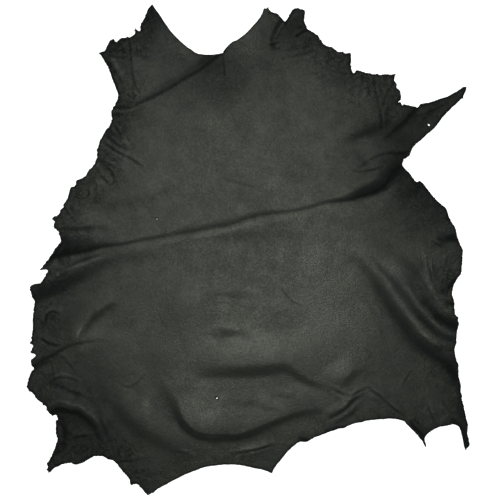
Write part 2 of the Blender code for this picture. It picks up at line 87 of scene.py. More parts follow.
OUTLINE = {
    "neck cut": Stretch(0.15, [
        (305, 9), (310, 17), (316, 25), (321, 32), (327, 42), (335, 53), (341, 62), (350, 72),
        (359, 81), (368, 89), (375, 95), (382, 99), (388, 104), (396, 108), (410, 110),
        (426, 110), (438, 108), (446, 106), (447, 103), (451, 98), (458, 90), (465, 84),
        (473, 81), (482, 75), (491, 68), (499, 60), (506, 52), (515, 42), (521, 34), (525, 26),
        (527, 19), (529, 17), (532, 18), (535, 16), (537, 14), (537, 18),
    ]),
    "right fore shank": Stretch(0.4, [
        (541, 23), (547, 26), (552, 27), (556, 29), (561, 35), (566, 41), (570, 44), (573, 40),
        (578, 33), (578, 30), (581, 27), (585, 20), (588, 18), (592, 17), (596, 16), (601, 19),
        (605, 19), (609, 21), (610, 25), (609, 32), (608, 42), (610, 48), (613, 53), (614, 58),
    ]),
    "right shoulder": Stretch(0.7, [
        (619, 61), (623, 64), (628, 66), (631, 69), (636, 71), (638, 75), (640, 80), (643, 80),
        (644, 85), (648, 89), (654, 93), (663, 94), (668, 98), (674, 103), (676, 104), (679, 104),
        (682, 104), (685, 103), (688, 106), (692, 107), (701, 106), (702, 109), (702, 120),
        (701, 131), (703, 133), (702, 135), (704, 142), (706, 147), (710, 145), (711, 142),
        (714, 141), (722, 142), (726, 144), (732, 146), (741, 147), (747, 149), (753, 148),
        (760, 150), (768, 149), (773, 149), (779, 150), (786, 149), (791, 147), (790, 152),
        (788, 159), (788, 162), (792, 167), (793, 171), (792, 175), (794, 178), (797, 179),
        (800, 183), (801, 188), (802, 193), (801, 197), (802, 199), (800, 201), (797, 203),
        (796, 205), (801, 205), (802, 209), (804, 212), (807, 209), (813, 211), (820, 213),
        (827, 214), (835, 216),
    ]),
    "right fore leg": Stretch(0.4, [
        (838, 212), (841, 208), (847, 207), (856, 206), (866, 203), (876, 199), (883, 197),
        (890, 195), (897, 192), (906, 187), (912, 184), (918, 180), (922, 177), (927, 174),
        (933, 174), (932, 179), (930, 185), (927, 190), (926, 195), (927, 197), (923, 197),
        (919, 201), (913, 207), (905, 214), (899, 220), (892, 227), (883, 237), (879, 243),
        (873, 251), (868, 257), (860, 264), (853, 269), (846, 276), (838, 283), (830, 289),
        (823, 297), (820, 303), (818, 308), (817, 312), (813, 315), (810, 318), (805, 319),
    ]),
    "right flank": Stretch(0.6, [
        (805, 324), (804, 328), (805, 332), (809, 337), (813, 341), (817, 344), (822, 351),
        (826, 357), (829, 362), (834, 364), (839, 362), (845, 366), (849, 371), (855, 379),
        (863, 389), (872, 400), (878, 405), (883, 410), (888, 413), (893, 419), (895, 426),
        (897, 433), (901, 440), (904, 447), (908, 453), (910, 460), (912, 468), (915, 476),
        (918, 484), (921, 491), (925, 498), (926, 502), (925, 510), (924, 523), (923, 536),
        (923, 543), (921, 549), (915, 556), (911, 563), (907, 570), (905, 578), (904, 587),
        (905, 594), (907, 600), (908, 607), (907, 614), (908, 621), (908, 628), (911, 631),
        (915, 635), (914, 640), (916, 645), (916, 649), (914, 657), (912, 663), (911, 670),
        (910, 680), (911, 685), (909, 691), (907, 697), (908, 704), (909, 712), (911, 720),
        (914, 725), (915, 733), (916, 743), (917, 750), (918, 756), (919, 761), (921, 767),
        (922, 773), (921, 779), (922, 786), (924, 792), (923, 797), (925, 805), (927, 811),
        (928, 819), (931, 829), (933, 839), (936, 850), (935, 860), (934, 866), (937, 876),
        (938, 883), (939, 888),
    ]),
    "right hind shank": Stretch(0.35, [
        (937, 893), (933, 897), (931, 901), (929, 896), (927, 888), (925, 877), (922, 864),
        (919, 855), (916, 852), (910, 849), (905, 848), (899, 850), (890, 852), (880, 853),
        (871, 857), (862, 862), (855, 867), (851, 872), (849, 876), (849, 881), (851, 886),
        (852, 891), (851, 894), (849, 891), (847, 887), (845, 882), (840, 877), (834, 869),
        (827, 862), (819, 854), (813, 848), (808, 842), (802, 840), (792, 838), (783, 837),
        (774, 837), (767, 838), (758, 838), (750, 839),
    ]),
    "rump": Stretch(0.25, [
        (740, 840), (732, 841), (723, 844), (710, 846), (704, 848), (700, 850), (695, 852),
        (688, 856), (678, 857), (670, 860), (660, 863), (650, 867), (644, 869), (640, 871),
        (630, 874), (625, 877), (620, 880), (615, 883), (608, 884), (601, 883), (594, 886),
        (590, 890), (584, 894), (581, 898), (578, 900), (575, 903), (570, 909), (567, 913),
        (563, 918), (560, 922), (556, 926), (553, 930), (549, 936), (546, 941), (545, 945),
        (543, 946), (540, 945), (534, 942), (530, 941), (524, 939), (520, 938), (512, 937),
        (504, 935), (500, 934), (494, 933), (486, 931), (480, 930), (470, 929), (450, 929),
        (440, 930), (430, 931), (420, 932), (410, 934), (402, 936), (396, 939), (390, 941),
        (380, 945), (370, 949), (360, 954), (350, 959), (340, 964), (334, 968), (324, 973),
        (316, 977), (310, 982), (308, 985), (303, 986), (299, 989), (296, 990),
    ]),
    "left hind leg": Stretch(0.6, [
        (294, 989), (290, 985), (288, 982), (285, 978), (282, 975), (279, 973), (278, 970),
        (274, 968), (268, 968), (263, 970), (261, 968), (260, 964), (260, 960), (257, 955),
        (253, 950), (250, 947), (244, 940), (239, 934), (235, 928), (231, 925), (228, 922),
        (224, 920), (220, 919), (215, 918), (212, 915), (209, 914), (205, 912), (200, 912),
        (190, 912), (186, 913), (180, 917), (173, 921), (168, 924), (160, 927), (154, 929),
        (150, 929), (146, 927), (142, 925), (138, 926), (130, 927), (125, 928), (120, 931),
        (116, 933), (112, 934), (107, 937), (102, 943), (99, 945), (97, 945), (96, 942),
        (93, 940), (95, 937), (96, 933), (94, 927), (97, 923), (100, 918), (104, 911), (105, 907),
        (107, 902), (110, 897), (112, 888), (115, 881), (116, 877), (114, 874), (114, 870),
        (112, 866), (112, 856), (112, 848), (112, 842), (113, 840), (116, 839), (115, 834),
        (114, 831), (112, 829), (108, 830), (105, 832), (103, 829), (100, 827), (98, 823),
        (95, 819), (95, 814), (92, 810), (87, 809), (86, 805), (82, 803), (77, 800), (72, 795),
    ]),
    "left flank": Stretch(0.9, [
        (70, 792), (68, 789), (65, 785), (60, 783), (57, 780), (55, 776), (54, 771), (55, 767),
        (57, 762), (58, 756), (60, 751), (62, 746), (63, 743), (67, 740), (68, 738), (68, 735),
        (65, 733), (63, 728), (64, 723), (62, 721), (66, 717), (70, 714), (73, 710), (72, 708),
        (69, 706), (64, 705), (62, 703), (64, 701), (65, 697), (66, 695), (68, 693), (67, 690),
        (64, 688), (60, 686), (62, 683), (64, 681), (63, 675), (65, 672), (65, 666), (65, 662),
        (66, 654), (66, 632), (66, 627), (68, 623), (67, 618), (68, 615), (69, 610), (70, 602),
        (68, 597), (65, 592), (65, 587), (63, 581), (62, 575), (65, 571), (70, 568), (76, 567),
        (80, 566), (84, 566), (86, 563), (88, 559), (91, 555), (95, 547), (98, 544), (98, 541),
        (95, 539), (90, 539), (84, 540), (81, 539), (84, 536), (87, 533), (90, 528), (93, 523),
        (97, 519), (100, 514), (106, 507), (109, 502), (111, 498), (116, 493), (120, 488),
        (124, 483), (124, 480), (123, 476), (122, 472), (120, 469), (121, 465), (119, 462),
        (116, 461), (114, 458), (110, 457), (110, 452), (110, 448), (112, 445), (110, 442),
        (107, 440), (106, 437), (108, 435), (111, 433), (115, 433), (118, 430),
    ]),
    "left waist": Stretch(0.7, [
        (121, 425), (121, 421), (123, 419), (125, 417), (128, 415), (127, 410), (129, 407),
        (133, 400), (136, 395), (138, 387), (139, 381), (141, 376), (143, 374), (146, 373),
        (149, 373), (151, 370), (152, 366), (152, 363), (154, 360), (158, 359), (161, 358),
        (166, 356), (172, 351), (175, 345), (178, 340), (185, 334), (187, 329), (190, 328),
        (191, 323), (193, 319), (195, 315), (194, 310), (195, 304), (193, 301), (195, 297),
        (197, 295), (198, 289), (199, 284), (200, 280), (203, 277), (205, 273), (206, 270),
        (209, 266), (211, 262), (213, 259), (215, 257), (217, 256), (219, 253), (220, 250),
        (222, 246), (223, 243), (223, 240), (225, 239), (224, 236), (223, 233), (223, 223),
        (225, 220), (226, 218), (226, 215), (229, 213), (231, 210), (232, 206), (235, 201),
        (236, 196), (237, 191),
    ]),
    "left fore shank": Stretch(0.7, [
        (234, 182), (230, 171), (225, 159), (221, 147), (218, 138), (213, 129), (208, 121),
        (204, 114), (200, 109), (197, 106), (202, 104), (208, 103), (211, 100), (214, 94),
        (217, 88), (219, 83), (223, 80), (227, 78), (230, 83), (234, 84), (238, 80), (243, 76),
        (250, 76), (255, 73), (258, 75), (262, 74), (267, 70), (270, 67), (270, 63), (268, 61),
        (270, 60), (271, 56), (274, 60), (277, 62), (280, 63), (281, 58), (281, 52), (282, 47),
        (285, 44), (287, 40), (290, 35), (291, 30), (294, 25), (295, 21), (298, 16), (301, 12),
    ]),
}
FRAY_STEP = 1.9     # mm between points along the edge
FRAY_SEED = 11


def draw_outline():
    """The edge in mm, clockwise, and how torn it is at each of its points."""
    dice = random.Random(FRAY_SEED)
    corners = [(place, stretch.torn) for stretch in OUTLINE.values()
               for place in on_table(stretch.corners)]
    points, torn_here = [], []
    for index, (start, torn) in enumerate(corners):
        along = corners[(index + 1) % len(corners)][0] - start
        length = float(np.hypot(*along))
        outwards = np.array([-along[1], along[0]]) / length
        steps = max(1, round(length / FRAY_STEP))
        for step in range(steps):
            stray = dice.uniform(-torn, torn) if step else 0.0
            points.append(start + along * step / steps + outwards * stray)
            torn_here.append(torn)
    return np.array(points), np.array(torn_here)


outline, outline_torn = draw_outline()
print("outline:", len(outline), "points,", len(OUTLINE), "stretches")

# %% [markdown]
# A soft skin never lies quite flat. It rises in long folds, which the next table gives as
# sections along each fold's line. A roll has a soft crest. A lip has a sharp near side. A
# crease is a valley between two low rolls. The far side is to the left of someone who walks
# along the line. Sculpting would do as well, but a table can be read, corrected and
# repeated.

# %% The folds
Fold = namedtuple("Fold", "shape sections")
# A section: its place right and down, its height, its reach to the far and the near side.
# A crease has two more: how far off its far crest is, and the near roll's share of the height.

FOLDS = {
    "crease from flank to fore leg": Fold("crease", [
        (92, 516, 14, 130, 60, 32, 0.12), (130, 510, 14, 130, 60, 28, 0.12),
        (160, 505, 9, 120, 60, 18, 0.12), (180, 500, 6, 100, 60, 12, 0.15),
        (210, 493, 2.6, 80, 50, 8, 0.25), (244, 489, 1.4, 70, 40, 7, 0.4),
        (300, 478, 1.3, 64, 30, 8, 0.5), (400, 460, 2, 64, 24, 14, 0.45),
        (450, 452, 2.2, 64, 24, 16, 0.45), (500, 436, 2, 64, 24, 14, 0.45),
        (550, 426, 1.4, 60, 26, 10, 0.4), (600, 420, 1.2, 60, 28, 8, 0.4),
        (650, 407, 1.4, 60, 30, 8, 0.4), (680, 402, 2.2, 70, 40, 9, 0.3),
        (700, 399, 5, 90, 60, 14, 0.2), (720, 394, 9, 100, 60, 22, 0.14),
        (740, 388, 12, 110, 60, 22, 0.12), (756, 381, 14, 110, 60, 22, 0.12),
        (770, 370, 16, 110, 60, 22, 0.12), (782, 352, 17, 110, 60, 22, 0.12),
        (792, 340, 17, 100, 60, 20, 0.12), (808, 328, 16, 90, 50, 14, 0.12),
    ]),
    "left flank lip": Fold("lip", [
        (56, 582, 13, 50, 30), (86, 568, 13, 50, 32), (116, 554, 11, 50, 32), (132, 547, 9, 46, 32),
        (146, 539, 6.4, 44, 32), (160, 534, 5, 40, 32), (176, 528, 4, 40, 30),
        (190, 523, 3, 36, 26), (206, 517, 2, 30, 20), (224, 512, 1, 26, 16), (248, 504, 0, 20, 12),
    ]),
    "left shoulder crease": Fold("crease", [
        (220, 217, 4, 40, 12, 8, 0.3), (250, 218, 4, 40, 12, 8, 0.3), (264, 216, 3, 40, 14, 7, 0.3),
        (280, 207, 2, 40, 16, 6, 0.4), (300, 196, 1.6, 40, 18, 6, 0.5),
        (330, 182, 1.6, 44, 18, 6, 0.5), (360, 164, 1.6, 44, 18, 6, 0.5),
        (390, 146, 1.6, 44, 18, 6, 0.5), (414, 130, 2, 44, 18, 6, 0.4),
        (432, 116, 2.4, 40, 18, 7, 0.4), (448, 104, 2, 40, 18, 7, 0.4),
    ]),
    "left shoulder lip": Fold("lip", [
        (220, 223, 2.5, 8, 24), (244, 223, 3, 8, 26), (264, 221, 2, 8, 24), (284, 212, 0, 8, 20),
    ]),
    "left shoulder shelf": Fold("roll", [
        (92, 452, 1.6, 30, 12), (124, 450, 2.2, 34, 13), (170, 449, 2.2, 34, 13),
        (200, 449, 1.2, 30, 12), (228, 448, 0, 24, 12),
    ]),
    "left knee roll": Fold("roll", [
        (150, 700, 0, 50, 14), (151, 688, 1.6, 50, 14), (154, 672, 3, 50, 14),
        (158, 660, 3.2, 50, 15), (168, 646, 3.2, 50, 18), (180, 632, 3.2, 50, 18),
        (196, 618, 3, 50, 18), (214, 606, 2, 46, 16), (240, 598, 0, 40, 14),
    ]),
    "left hind crease": Fold("crease", [
        (56, 732, 7, 60, 60, 12, 0.2), (76, 726, 6.5, 60, 60, 11, 0.2),
        (92, 718, 4, 60, 60, 7, 0.2), (112, 707, 2, 50, 50, 5, 0.3),
        (130, 696, 1.4, 40, 40, 5, 0.4), (150, 689, 1, 40, 40, 5, 0.4),
        (180, 684, 0.6, 30, 30, 5, 0.4), (208, 682, 0, 20, 20, 5, 0.4),
    ]),
    "left hock pleat": Fold("lip", [
        (92, 820, 7, 40, 12), (104, 813, 9, 40, 12), (115, 805, 11, 44, 13), (132, 808, 12, 44, 13),
        (145, 813, 12, 44, 13), (158, 814, 12, 44, 13), (173, 823, 11.5, 44, 14),
        (185, 833, 10, 44, 14), (196, 845, 8, 44, 14), (203, 862, 4, 40, 14), (210, 880, 1, 30, 14),
        (218, 898, 0, 24, 12),
    ]),
    "left thigh crease": Fold("crease", [
        (100, 768, 0, 30, 20, 6, 0.4), (120, 772, 2.2, 30, 22, 7, 0.4),
        (140, 781, 2.6, 30, 22, 7, 0.4), (160, 788, 2.6, 30, 22, 7, 0.4),
        (180, 798, 0, 24, 18, 6, 0.4),
    ]),
    "outer belly roll": Fold("roll", [
        (228, 792, 0, 40, 24), (244, 810, 2, 44, 28), (272, 838, 2.8, 44, 30),
        (300, 860, 2.4, 44, 28), (336, 880, 1.4, 40, 24), (370, 896, 0.8, 36, 20),
        (400, 910, 0, 30, 16),
    ]),
    "inner belly roll": Fold("roll", [
        (328, 744, 0, 60, 24), (342, 774, 1.6, 70, 28), (356, 798, 2.8, 80, 26),
        (366, 826, 4, 90, 20), (376, 846, 5.2, 90, 16), (394, 860, 6, 92, 14),
        (418, 866, 6, 92, 14), (446, 867, 5.4, 92, 16), (472, 866, 4.6, 90, 18),
        (494, 860, 4, 84, 18), (524, 848, 3.6, 80, 17), (558, 834, 3, 70, 16),
        (592, 822, 2.2, 60, 15), (626, 816, 1.2, 50, 13), (652, 814, 0, 40, 12),
    ]),
    "belly crease": Fold("roll", [
        (372, 740, 0, 60, 24), (400, 734, 1, 60, 26), (424, 729, 2.1, 64, 30),
        (448, 727, 2.9, 70, 32), (480, 726, 3.4, 70, 32), (520, 725, 3.4, 70, 32),
        (552, 723, 3.1, 70, 30), (576, 726, 2.7, 66, 26), (598, 740, 2.2, 60, 22),
        (622, 756, 1.6, 50, 18), (644, 767, 0.8, 40, 14), (668, 776, 0, 36, 12),
    ]),
    "right thigh roll": Fold("roll", [
        (668, 772, 0, 40, 18), (688, 756, 1.6, 44, 18), (704, 742, 1.6, 44, 18),
        (724, 724, 0, 40, 18),
    ]),
    "right thigh crease": Fold("crease", [
        (660, 836, 0, 24, 16, 5, 0.6), (676, 828, 2.4, 24, 18, 6, 0.6),
        (694, 816, 3, 26, 18, 6, 0.6), (704, 804, 2.6, 26, 18, 6, 0.6),
        (716, 794, 0, 22, 16, 5, 0.6),
    ]),
    "right flank fold": Fold("roll", [
        (696, 486, 0, 60, 22), (714, 502, 1.8, 64, 26), (740, 524, 3.6, 66, 30),
        (760, 546, 5, 66, 32), (776, 566, 6, 66, 32), (790, 590, 7, 66, 32), (806, 614, 8, 64, 32),
        (830, 646, 9, 60, 32), (846, 666, 9.4, 60, 32), (864, 682, 9.4, 56, 30),
        (882, 697, 9.4, 50, 26), (898, 712, 9.4, 46, 22), (916, 732, 9, 44, 20),
    ]),
    "right flank branch": Fold("roll", [
        (860, 680, 0, 26, 12), (874, 686, 2.4, 28, 12), (896, 689, 3.4, 28, 12),
        (920, 688, 3.4, 28, 12),
    ]),
    "right middle fold": Fold("roll", [
        (724, 488, 0, 30, 14), (746, 502, 0.6, 34, 16), (770, 522, 1.2, 36, 18),
        (800, 550, 2.2, 36, 20), (820, 578, 3.6, 36, 20), (839, 608, 5.6, 34, 20),
        (856, 631, 7.6, 32, 20), (870, 645, 8.4, 30, 20), (890, 661, 8.4, 30, 20),
        (920, 670, 8.4, 30, 20),
    ]),
    "right upper fold": Fold("roll", [
        (782, 502, 0, 40, 22), (802, 524, 2.2, 42, 25), (824, 546, 3.6, 42, 26),
        (844, 564, 4.8, 42, 26), (860, 586, 6.4, 40, 26), (874, 606, 8, 40, 26),
        (890, 623, 8.8, 38, 25), (906, 632, 8.8, 36, 24), (920, 638, 8.8, 36, 24),
    ]),
    "right edge lift": Fold("roll", [
        (876, 482, 0, 30, 12), (892, 470, 5, 30, 12), (906, 463, 8, 30, 14), (922, 462, 9, 30, 14),
    ]),
    "fore leg valley": Fold("crease", [
        (772, 276, 0, 30, 26, 10, 0.4), (786, 264, 3, 40, 28, 11, 0.4),
        (804, 248, 5, 40, 30, 12, 0.4), (820, 232, 6, 40, 30, 12, 0.4),
        (836, 214, 6, 40, 30, 12, 0.4), (848, 200, 5, 40, 30, 12, 0.4),
    ]),
    "shoulder roll": Fold("roll", [
        (672, 278, 0, 30, 16), (690, 270, 1.6, 34, 18), (720, 257, 2.8, 34, 18),
        (744, 248, 2.8, 30, 18), (764, 238, 1.5, 26, 16), (780, 228, 0, 22, 14),
    ]),
    "armpit crease": Fold("crease", [
        (704, 342, 0, 30, 20, 8, 0.5), (724, 330, 1.4, 34, 22, 9, 0.5),
        (744, 318, 2, 34, 24, 10, 0.5), (764, 310, 2.2, 34, 24, 10, 0.5),
        (784, 308, 2, 34, 22, 9, 0.4), (804, 310, 1.6, 30, 20, 8, 0.4),
    ]),
    "right shank roll": Fold("roll", [
        (556, 100, 0, 30, 12), (576, 92, 1.6, 30, 13), (600, 87, 2, 30, 14), (624, 84, 1.6, 30, 13),
        (648, 82, 0, 24, 12),
    ]),
    "shank overlap": Fold("lip", [
        (544, 98, 0, 24, 8), (544, 80, 3, 26, 9), (548, 56, 4, 26, 10), (558, 40, 3, 24, 10),
        (566, 28, 0, 20, 9),
    ]),
}

# %% [markdown]
# Between the folds run finer creases: flutes where a leg was stretched, wrinkles at the
# waist, and the veins that show through the grain. Each is a narrow valley between two
# low rolls that fade out at both ends, so one row holds its height, its two reaches and
# the places that its line passes.

# %% The fine creases
Crease = namedtuple("Crease", "shape high far near places")

CREASES = {
    "line under the long crease": Crease("wrinkle", 0.6, 20, 20, [
        (708, 404), (730, 397), (752, 388), (772, 378), (792, 364)]),
    "line over the left flank lip": Crease("wrinkle", 0.9, 15, 8, [
        (112, 550), (140, 534), (160, 523), (176, 517), (194, 510)]),
    "left waist, flap": Crease("wrinkle", 1.6, 14, 20, [(216, 258), (226, 266), (240, 274)]),
    "left waist, flap edge": Crease("wrinkle", 2, 10, 12, [
        (224, 238), (230, 250), (238, 264), (246, 278)]),
    "left waist, first": Crease("wrinkle", 2.4, 16, 16, [(212, 262), (222, 277), (234, 289), (254, 300)]),
    "left waist, second": Crease("wrinkle", 2.2, 16, 18, [
        (212, 290), (224, 297), (238, 307), (260, 318), (284, 332)]),
    "left waist, third": Crease("wrinkle", 1.4, 14, 16, [(194, 320), (206, 322), (220, 330), (238, 340)]),
    "left waist, fourth": Crease("wrinkle", 2.2, 14, 16, [
        (206, 324), (216, 336), (224, 348), (232, 364)]),
    "left waist, lens": Crease("wrinkle", 2.4, 14, 26, [(188, 326), (194, 338), (204, 354), (216, 366)]),
    "left shoulder, slanting": Crease("wrinkle", 1.4, 14, 14, [
        (124, 406), (132, 418), (142, 432), (154, 446)]),
    "left knee, hook": Crease("wrinkle", 1.6, 12, 12, [(90, 642), (94, 631), (104, 623), (116, 628)]),
    "left knee, short": Crease("wrinkle", 1.2, 12, 10, [(76, 636), (86, 645), (100, 656)]),
    "left knee, level": Crease("wrinkle", 1.4, 12, 12, [(82, 676), (92, 683), (104, 689), (120, 690)]),
    "left knee, upright": Crease("wrinkle", 0.5, 10, 10, [(104, 654), (116, 668), (128, 684)]),
    "left thigh, slanting": Crease("wrinkle", 1.0, 12, 12, [
        (124, 714), (134, 725), (144, 736), (154, 750)]),
    "left thigh, upright": Crease("wrinkle", 0.6, 10, 10, [(100, 722), (106, 742), (110, 764)]),
    "left thigh, soft": Crease("hollow", 2, 12, 10, [(108, 760), (120, 756), (134, 756), (152, 762)]),
    "left rump, arc": Crease("wrinkle", 0.4, 14, 14, [
        (224, 748), (240, 768), (258, 775), (276, 764), (290, 748)]),
    "left leg, along the pleat": Crease("hollow", 1.6, 14, 14, [
        (184, 800), (198, 830), (212, 860), (224, 894)]),
    "left leg, pocket": Crease("wrinkle", 1.4, 14, 14, [(128, 882), (140, 877), (160, 873), (196, 870)]),
    "left leg, edge": Crease("wrinkle", 2, 12, 12, [(112, 840), (122, 848), (130, 860), (132, 876)]),
    "left leg, lower": Crease("hollow", 1.6, 12, 12, [(134, 880), (128, 900), (114, 910)]),
    "left rump, low": Crease("wrinkle", 1.2, 12, 12, [(228, 924), (244, 923), (260, 922), (284, 918)]),
    "right thigh, under the patch": Crease("wrinkle", 1.0, 14, 14, [(664, 778), (680, 786), (698, 790)]),
    "right thigh, short": Crease("wrinkle", 1.2, 14, 14, [(704, 790), (718, 782), (732, 776)]),
    "right thigh, towards the shank": Crease("wrinkle", 1.3, 16, 14, [
        (736, 774), (752, 786), (768, 800), (786, 816), (804, 830), (820, 840)]),
    "right thigh, upright": Crease("wrinkle", 1.4, 14, 14, [
        (848, 796), (856, 814), (864, 832), (872, 850)]),
    "right thigh, second upright": Crease("wrinkle", 0.7, 12, 12, [(882, 798), (890, 810), (900, 826)]),
    "right thigh, short upright": Crease("wrinkle", 0.7, 10, 10, [(806, 768), (812, 758), (822, 744)]),
    "right hind shank, gap": Crease("wrinkle", 2.4, 12, 14, [(820, 844), (832, 856), (846, 870)]),
    "right hind shank, fan": Crease("wrinkle", 0.8, 8, 8, [(820, 832), (836, 844), (854, 860)]),
    "right rump, edge arc": Crease("wrinkle", 0.8, 12, 12, [(694, 824), (706, 828), (718, 840)]),
    "rump, crisp line": Crease("wrinkle", 2, 12, 12, [(472, 909), (492, 904), (514, 899), (544, 891)]),
    "rump, second line": Crease("wrinkle", 0.7, 12, 12, [(352, 904), (366, 906), (384, 912)]),
    "middle dimple": Crease("hollow", 1.1, 26, 24, [(416, 676), (440, 672), (464, 670), (492, 672)]),
    "middle, low": Crease("hollow", 0.5, 22, 20, [(432, 592), (456, 593), (484, 594), (516, 598)]),
    "middle, second": Crease("hollow", 0.4, 16, 14, [(472, 526), (496, 524), (524, 520)]),
    "middle, upper": Crease("hollow", 0.6, 16, 14, [(436, 358), (462, 362), (492, 370), (532, 382)]),
    "right flank, first flute": Crease("wrinkle", 1.3, 12, 12, [
        (848, 476), (854, 504), (859, 536), (868, 568), (880, 596)]),
    "right flank, second flute": Crease("wrinkle", 1.3, 12, 12, [
        (896, 510), (892, 530), (886, 554), (884, 580)]),
    "right flank, short": Crease("wrinkle", 2, 10, 10, [(864, 482), (874, 489), (884, 495)]),
    "right flank, rim": Crease("wrinkle", 2, 14, 14, [(892, 588), (898, 576), (906, 564), (916, 554)]),
    "right flank, low rim": Crease("wrinkle", 1.2, 10, 10, [(892, 602), (900, 608), (912, 616)]),
    "right shoulder, left line": Crease("wrinkle", 1.3, 14, 14, [
        (744, 140), (748, 160), (752, 184), (758, 212), (762, 232), (762, 256)]),
    "right shoulder, right line": Crease("wrinkle", 1.5, 14, 14, [
        (794, 156), (786, 168), (776, 184), (768, 206), (762, 232)]),
    "right shoulder, thin": Crease("wrinkle", 0.6, 10, 10, [(688, 266), (704, 270), (724, 276)]),
    "over the long crease, thin": Crease("wrinkle", 1.3, 12, 12, [
        (696, 340), (716, 344), (740, 341), (764, 336)]),
    "armpit, edge": Crease("wrinkle", 1.4, 10, 10, [(796, 306), (808, 307), (820, 304)]),
    "fore leg, along": Crease("wrinkle", 0.8, 16, 16, [(824, 234), (848, 228), (876, 216), (904, 200)]),
    "right fore shank, second": Crease("wrinkle", 1.0, 10, 10, [
        (554, 88), (558, 70), (568, 52), (578, 40)]),
    "right fore shank, knot": Crease("hollow", 2.2, 9, 9, [(536, 92), (546, 90), (558, 86)]),
    "right fore shank, wedge": Crease("wrinkle", 1.8, 10, 12, [(592, 74), (602, 66), (616, 59)]),
    "right fore shank, tip": Crease("wrinkle", 1.0, 10, 10, [(588, 36), (596, 46), (608, 58)]),
    "right fore shank, root": Crease("hollow", 0.8, 16, 16, [
        (568, 118), (584, 114), (604, 110), (628, 104)]),
    "right shoulder, nick": Crease("wrinkle", 1.4, 8, 8, [(684, 147), (698, 148), (712, 148)]),
    "right shoulder, edge": Crease("wrinkle", 0.8, 12, 12, [
        (692, 166), (708, 158), (728, 151), (748, 148)]),
    "right shoulder, short": Crease("wrinkle", 0.8, 10, 10, [(652, 130), (662, 120), (674, 110)]),
    "left fore shank, long": Crease("wrinkle", 1.3, 14, 14, [
        (256, 68), (260, 88), (263, 116), (264, 144), (268, 166), (282, 194)]),
    "left fore shank, short": Crease("wrinkle", 0.8, 10, 10, [(238, 82), (244, 92), (252, 106)]),
    "left fore shank, dark side": Crease("hollow", 1.8, 12, 12, [(216, 116), (232, 115), (254, 116)]),
    "left fore shank, low": Crease("hollow", 2.2, 12, 12, [
        (218, 124), (228, 140), (238, 156), (248, 182)]),
    "left fore shank, tip": Crease("hollow", 1.2, 9, 9, [(288, 28), (298, 36), (314, 48)]),
    "neck, right": Crease("wrinkle", 0.7, 12, 12, [(446, 104), (448, 124), (449, 144), (451, 168)]),
    "vein near the neck": Crease("wrinkle", 0.3, 6, 6, [(580, 258), (560, 266), (544, 284), (532, 306)]),
    "second vein near the neck": Crease("wrinkle", 0.4, 6, 6, [
        (526, 152), (529, 164), (534, 174), (542, 172)]),
    "scar near the neck": Crease("wrinkle", 0.5, 6, 6, [(460, 224), (466, 232), (472, 244), (478, 258)]),
    "vein in the middle": Crease("wrinkle", 0.6, 6, 6, [
        (562, 576), (570, 588), (580, 598), (592, 606), (610, 614)]),
    "hook in the middle": Crease("wrinkle", 0.3, 6, 6, [(554, 642), (552, 628), (564, 622), (578, 620)]),
    "vein at the right": Crease("wrinkle", 0.4, 6, 6, [
        (734, 604), (742, 622), (750, 640), (760, 660), (768, 690), (780, 714)]),
    "second vein at the right": Crease("wrinkle", 0.4, 6, 6, [
        (726, 682), (728, 694), (734, 704), (732, 718)]),
    "third vein at the right": Crease("wrinkle", 0.3, 6, 6, [
        (716, 740), (736, 743), (754, 744), (764, 726), (780, 718)]),
}


FINE_CREST = 0.3    # how far off its crest is, as a part of its reach
FINE_SHARE = 0.5


def as_fold(crease):
    """A fine crease as a fold: low at its ends and full height between them."""
    last = len(crease.places) - 1
    sections = []
    for index, (right, down) in enumerate(crease.places):
        part = 0.0 if index in (0, last) else 1.0
        sections.append((right, down, crease.high * part, crease.far, crease.near,
                         FINE_CREST * crease.far, FINE_SHARE))
    return Fold(crease.shape, sections)


fine_folds = {name: as_fold(crease) for name, crease in CREASES.items()}
print("folds:", len(FOLDS), " fine creases:", len(CREASES))

# %% [markdown]
# Every fold becomes a smooth path through its sections. For a point of the skin, the
# nearest place on that path gives how far away it is, on which side, and how high and wide
# the fold is there. Three falls turn the distance into a height. Working on all points at
# once with arrays keeps this quick.

# %% Heights from folds
PATH_STEP = 5.0     # mm between the rows of a path
PATH_BLEND = 4.0    # mm


def smooth_path(sections, step, signed=0):
    """Sections joined by a Catmull-Rom curve, with a row about every step mm.

    All values but the first signed ones after the place are held above zero.
    """
    rows = on_table(sections)
    rows = np.vstack([2.0 * rows[0] - rows[1], rows, 2.0 * rows[-1] - rows[-2]])
    path = []
    for a, b, c, d in zip(rows, rows[1:], rows[2:], rows[3:]):
        count = max(1, math.ceil(np.hypot(*(c - b)[:2]) / step))
        for t in np.arange(count) / count:
            path.append(0.5 * (2.0 * b + (c - a) * t + (2.0 * a - 5.0 * b + 4.0 * c - d) * t**2
                               + (3.0 * b - a - 3.0 * c + d) * t**3))
    path = np.array(path + [rows[-2]])
    path[:, 2 + signed:] = np.maximum(path[:, 2 + signed:], 0.0)
    return path


def nearest_on_path(points, path):
    """For each point: the path's rows there, the distance, and whether it is on the far side.

    The rows are a mean of the nearest ones, so that no step shows where two parts of a
    curved path are as near.
    """
    start, run = path[:-1], np.diff(path, axis=0)
    away = points[:, None, :] - start[None, :, :2]
    along = (away * run[None, :, :2]).sum(axis=2) / (run[:, :2] ** 2).sum(axis=1)
    along = np.clip(along, 0.0, 1.0)
    distance = np.linalg.norm(away - along[:, :, None] * run[None, :, :2], axis=2)
    row, nearest = np.arange(len(points)), distance.argmin(axis=1)
    side = run[nearest, 0] * away[row, nearest, 1] - run[nearest, 1] * away[row, nearest, 0]
    shortest = distance[row, nearest]
    weight = np.exp((shortest[:, None] - distance) / PATH_BLEND)
    here = weight @ (start + 0.5 * run) / weight.sum(axis=1)[:, None]
    return here, shortest, side >= 0.0


def soft_fall(t):
    return (1.0 - t**2) ** 2


